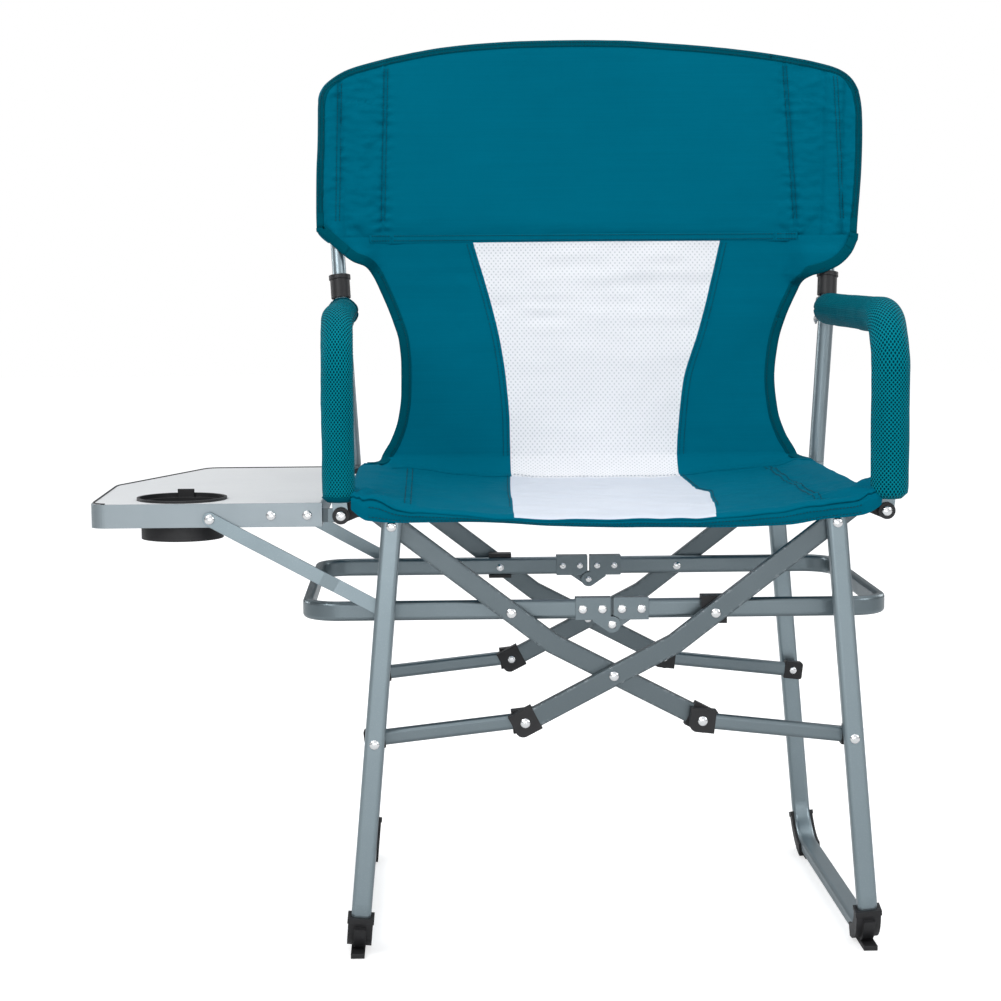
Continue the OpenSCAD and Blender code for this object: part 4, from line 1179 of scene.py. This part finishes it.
def armrest(s, side):
    pts, tot = arm_path(s, 120)
    _, t = frames(pts)
    ring = 48
    P = []
    for i, c in enumerate(pts):
        d = tot * i / (len(pts) - 1)
        out = np.array([s * 1.0, 0, 0])
        out = out - t[i] * np.dot(out, t[i])
        out /= np.linalg.norm(out)
        up = np.cross(t[i], out) * s
        end = min(d, tot - d)
        row = []
        for k in range(ring):
            a = 2 * math.pi * k / ring
            r = 15.9 + 0.7 * math.cos(2 * a) * (1 if d > 250 else 0.3)
            r += 0.55 * noise.noise(Vector((c[0] * 0.02 + math.cos(a) * 0.8, c[1] * 0.02 + math.sin(a) * 0.8, c[2] * 0.02 + s)))
            r += 0.35 * noise.noise(Vector((c[1] * 0.07 + math.cos(a) * 2.4, c[2] * 0.07 + math.sin(a) * 2.4, s * 3)))
            # gathered inside of the bend
            if 105 < d < 215:
                inside = max(0.0, math.cos(a - math.pi / 2 * (1 if True else 1)))
                r -= 0.8 * inside ** 2 * (0.5 + 0.5 * math.sin(d * 0.62)) * math.sin(math.pi * (d - 105) / 110)
            if end < 7:
                r = 10.2 + (r - 10.2) * math.sqrt(max(0.0, 1 - (1 - end / 7) ** 2))
            # seam groove along the inner side
            g = math.exp(-((math.atan2(math.sin(a - math.pi), math.cos(a - math.pi))) / 0.09) ** 2)
            r -= 0.9 * g
            row.append(list(c + out * math.cos(a) * r + up * math.sin(a) * r))
        P.append(row)
    P = np.array(P)
    n, m = P.shape[:2]
    verts = np.concatenate([P, P[:, :1]], axis=1)
    dist = np.linspace(0, tot, n)
    uv = np.zeros((n, m + 1, 2))
    uv[:, :, 0] = np.linspace(0, 2 * math.pi * 16.4, m + 1)[None, :] * 0.001
    uv[:, :, 1] = dist[:, None] * 0.001
    # closed tube without a doubled seam column: per-corner UVs
    faces = grid_faces(n, m, close_v=True)
    o = build("armrest_sleeve_" + side, P.reshape(-1, 3), faces, SPACER, None)
    layer = o.data.uv_layers.new(name="UVMap")
    for poly in o.data.polygons:
        cols = [o.data.loops[li].vertex_index % m for li in poly.loop_indices]
        wrap = max(cols) - min(cols) > 1
        for li in poly.loop_indices:
            vi = o.data.loops[li].vertex_index
            i, j = vi // m, vi % m
            if wrap and j == 0:
                j = m
            layer.data[li].uv = uv[i, j]
    sm = o.modifiers.new("thickness", "SOLIDIFY")
    sm.thickness = 0.003
    sm.offset = -1
    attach(o, "side_" + side)
    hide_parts("armrest_foam_" + side)
    # cuffs: a plain tape round both ends, and the stitched seam along the inside
    for e, idx in (("front", (0, 1)), ("rear", (n - 3, n - 1))):
        C = P[idx[0]:idx[1] + 1] .copy()
        cen = pts[idx[0]:idx[1] + 1][:, None, :]
        C = cen + (C - cen) * (1 + 0.45 / 16)
        faces = grid_faces(C.shape[0], m, close_v=True)
        q = build("armrest_cuff_%s_%s" % (e, side), C.reshape(-1, 3), faces, BIND, "side_" + side, uv_of(C))
        mod = q.modifiers.new("thickness", "SOLIDIFY")
        mod.thickness = 0.0012
        mod.offset = 1
    inner = P[6:-6, m // 2]
    nrm = (-s, 0, 0)
    stitches("stitches_armrest_" + side, [[list(np.array(v) + np.array([-s * 0.1, 0, 0])) for v in inner]], "side_" + side, nrm, pitch=3.6)
    ringp = []
    for idx in (5, n - 6):
        loop = P[idx]
        cen = pts[idx]
        for k in range(m):
            pass
        ringp.append(np.concatenate([loop, loop[:1]]) + 0.0)
    return o


for s, side in ((-1, "left"), (1, "right")):
    armrest(s, side)

# ------------------------------------------------------------------ table: dark edge strip
TX0, TX1, TY0, TY1 = -523.0, -292.0, 13.0, 417.0


def outline(d):
    """The table's outline from the inner rear corner, round the slant, to the front outer corner."""
    r = 15 - d
    pts = [(TX1 - d, TY1 - d), (TX0 + 94, TY1 - d)]
    pts += [(TX0 + 94 - 24 * math.sin(math.radians(8 * a)) - 0.4 * a, TY1 - d - 24 * (1 - math.cos(math.radians(8 * a)))) for a in range(5)]
    pts += [(TX0 + d + 20 * (1 - math.cos(math.radians((5 - a) * 7.4))), TY0 + 194 + 20 * math.sin(math.radians((5 - a) * 7.4))) for a in range(6)]
    pts += [(TX0 + 15 - r * math.cos(math.radians(10 * a)), TY0 + 15 - r * math.sin(math.radians(10 * a))) for a in range(10)]
    return pts


def edge_strip():
    """Dark sealing strip between the laminate and the rim, on the far and outer edges."""
    pts = outline(1.6)
    path = resample([(x, y, 465.7) for x, y in pts], 5)
    for _ in range(3):
        path[1:-1] = path[1:-1] * 0.5 + (path[:-2] + path[2:]) * 0.25
    _, t = frames(path)
    side = np.cross(t, [0, 0, 1])
    sec = [(-1.1, -0.6), (-1.0, 0.5), (0, 0.9), (1.0, 0.5), (1.1, -0.6)]
    P = np.zeros((len(path), len(sec), 3))
    for j, (a, b) in enumerate(sec):
        P[:, j] = path + side * a + np.array([0, 0, b])
    n, m = P.shape[:2]
    faces = grid_faces(n, m, close_v=True)
    faces.append(tuple(range(m)))
    faces.append(tuple(reversed(range((n - 1) * m, n * m))))
    build("table_edge_strip", P.reshape(-1, 3), faces, EDGING, "table", uv_of(P))


edge_strip()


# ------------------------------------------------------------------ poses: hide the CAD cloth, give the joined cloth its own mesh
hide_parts("seat_panel_left", "seat_sleeve_left")
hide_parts("seat_panel_right", "seat_sleeve_right")
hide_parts("sling_middle")
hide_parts("back_panel")
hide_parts("back_sleeve_left")
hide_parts("back_sleeve_right")
for o in list(scene.objects):
    if o.get("sq"):
        k, x = {1: (0.116, -250), 2: (0.126, -258), 3: (0.028, -XP)}[o["sq"]]
        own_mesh(o)
    if o.get("bl"):
        side = o["bl"]
        s = -1 if side == "left" else 1
        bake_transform(o)

# ------------------------------------------------------------------ floor
me = bpy.data.meshes.new("floor")
me.from_pydata([(-9, -6, -0.0006), (9, -6, -0.0006), (9, 12, -0.0006), (-9, 12, -0.0006)], [], [(0, 1, 2, 3)])
floor = bpy.data.objects.new("floor", me)
scene.collection.objects.link(floor)
fm = Mat("floor")
fm.l(fm.mix(fm.noise(fm.obj(), 3.0, 3), (0.66, 0.66, 0.66), (0.68, 0.68, 0.68)), fm.b.inputs["Base Color"])
fm.set(Roughness=0.9)
# the floor reads as white, without lighting the chair from below
fm.b.inputs["Emission Color"].default_value = (1, 1, 1, 1)
fm.l(fm.math("MULTIPLY", fm.n("ShaderNodeLightPath").outputs["Is Camera Ray"], 0.62), fm.b.inputs["Emission Strength"])
me.materials.append(fm.m)
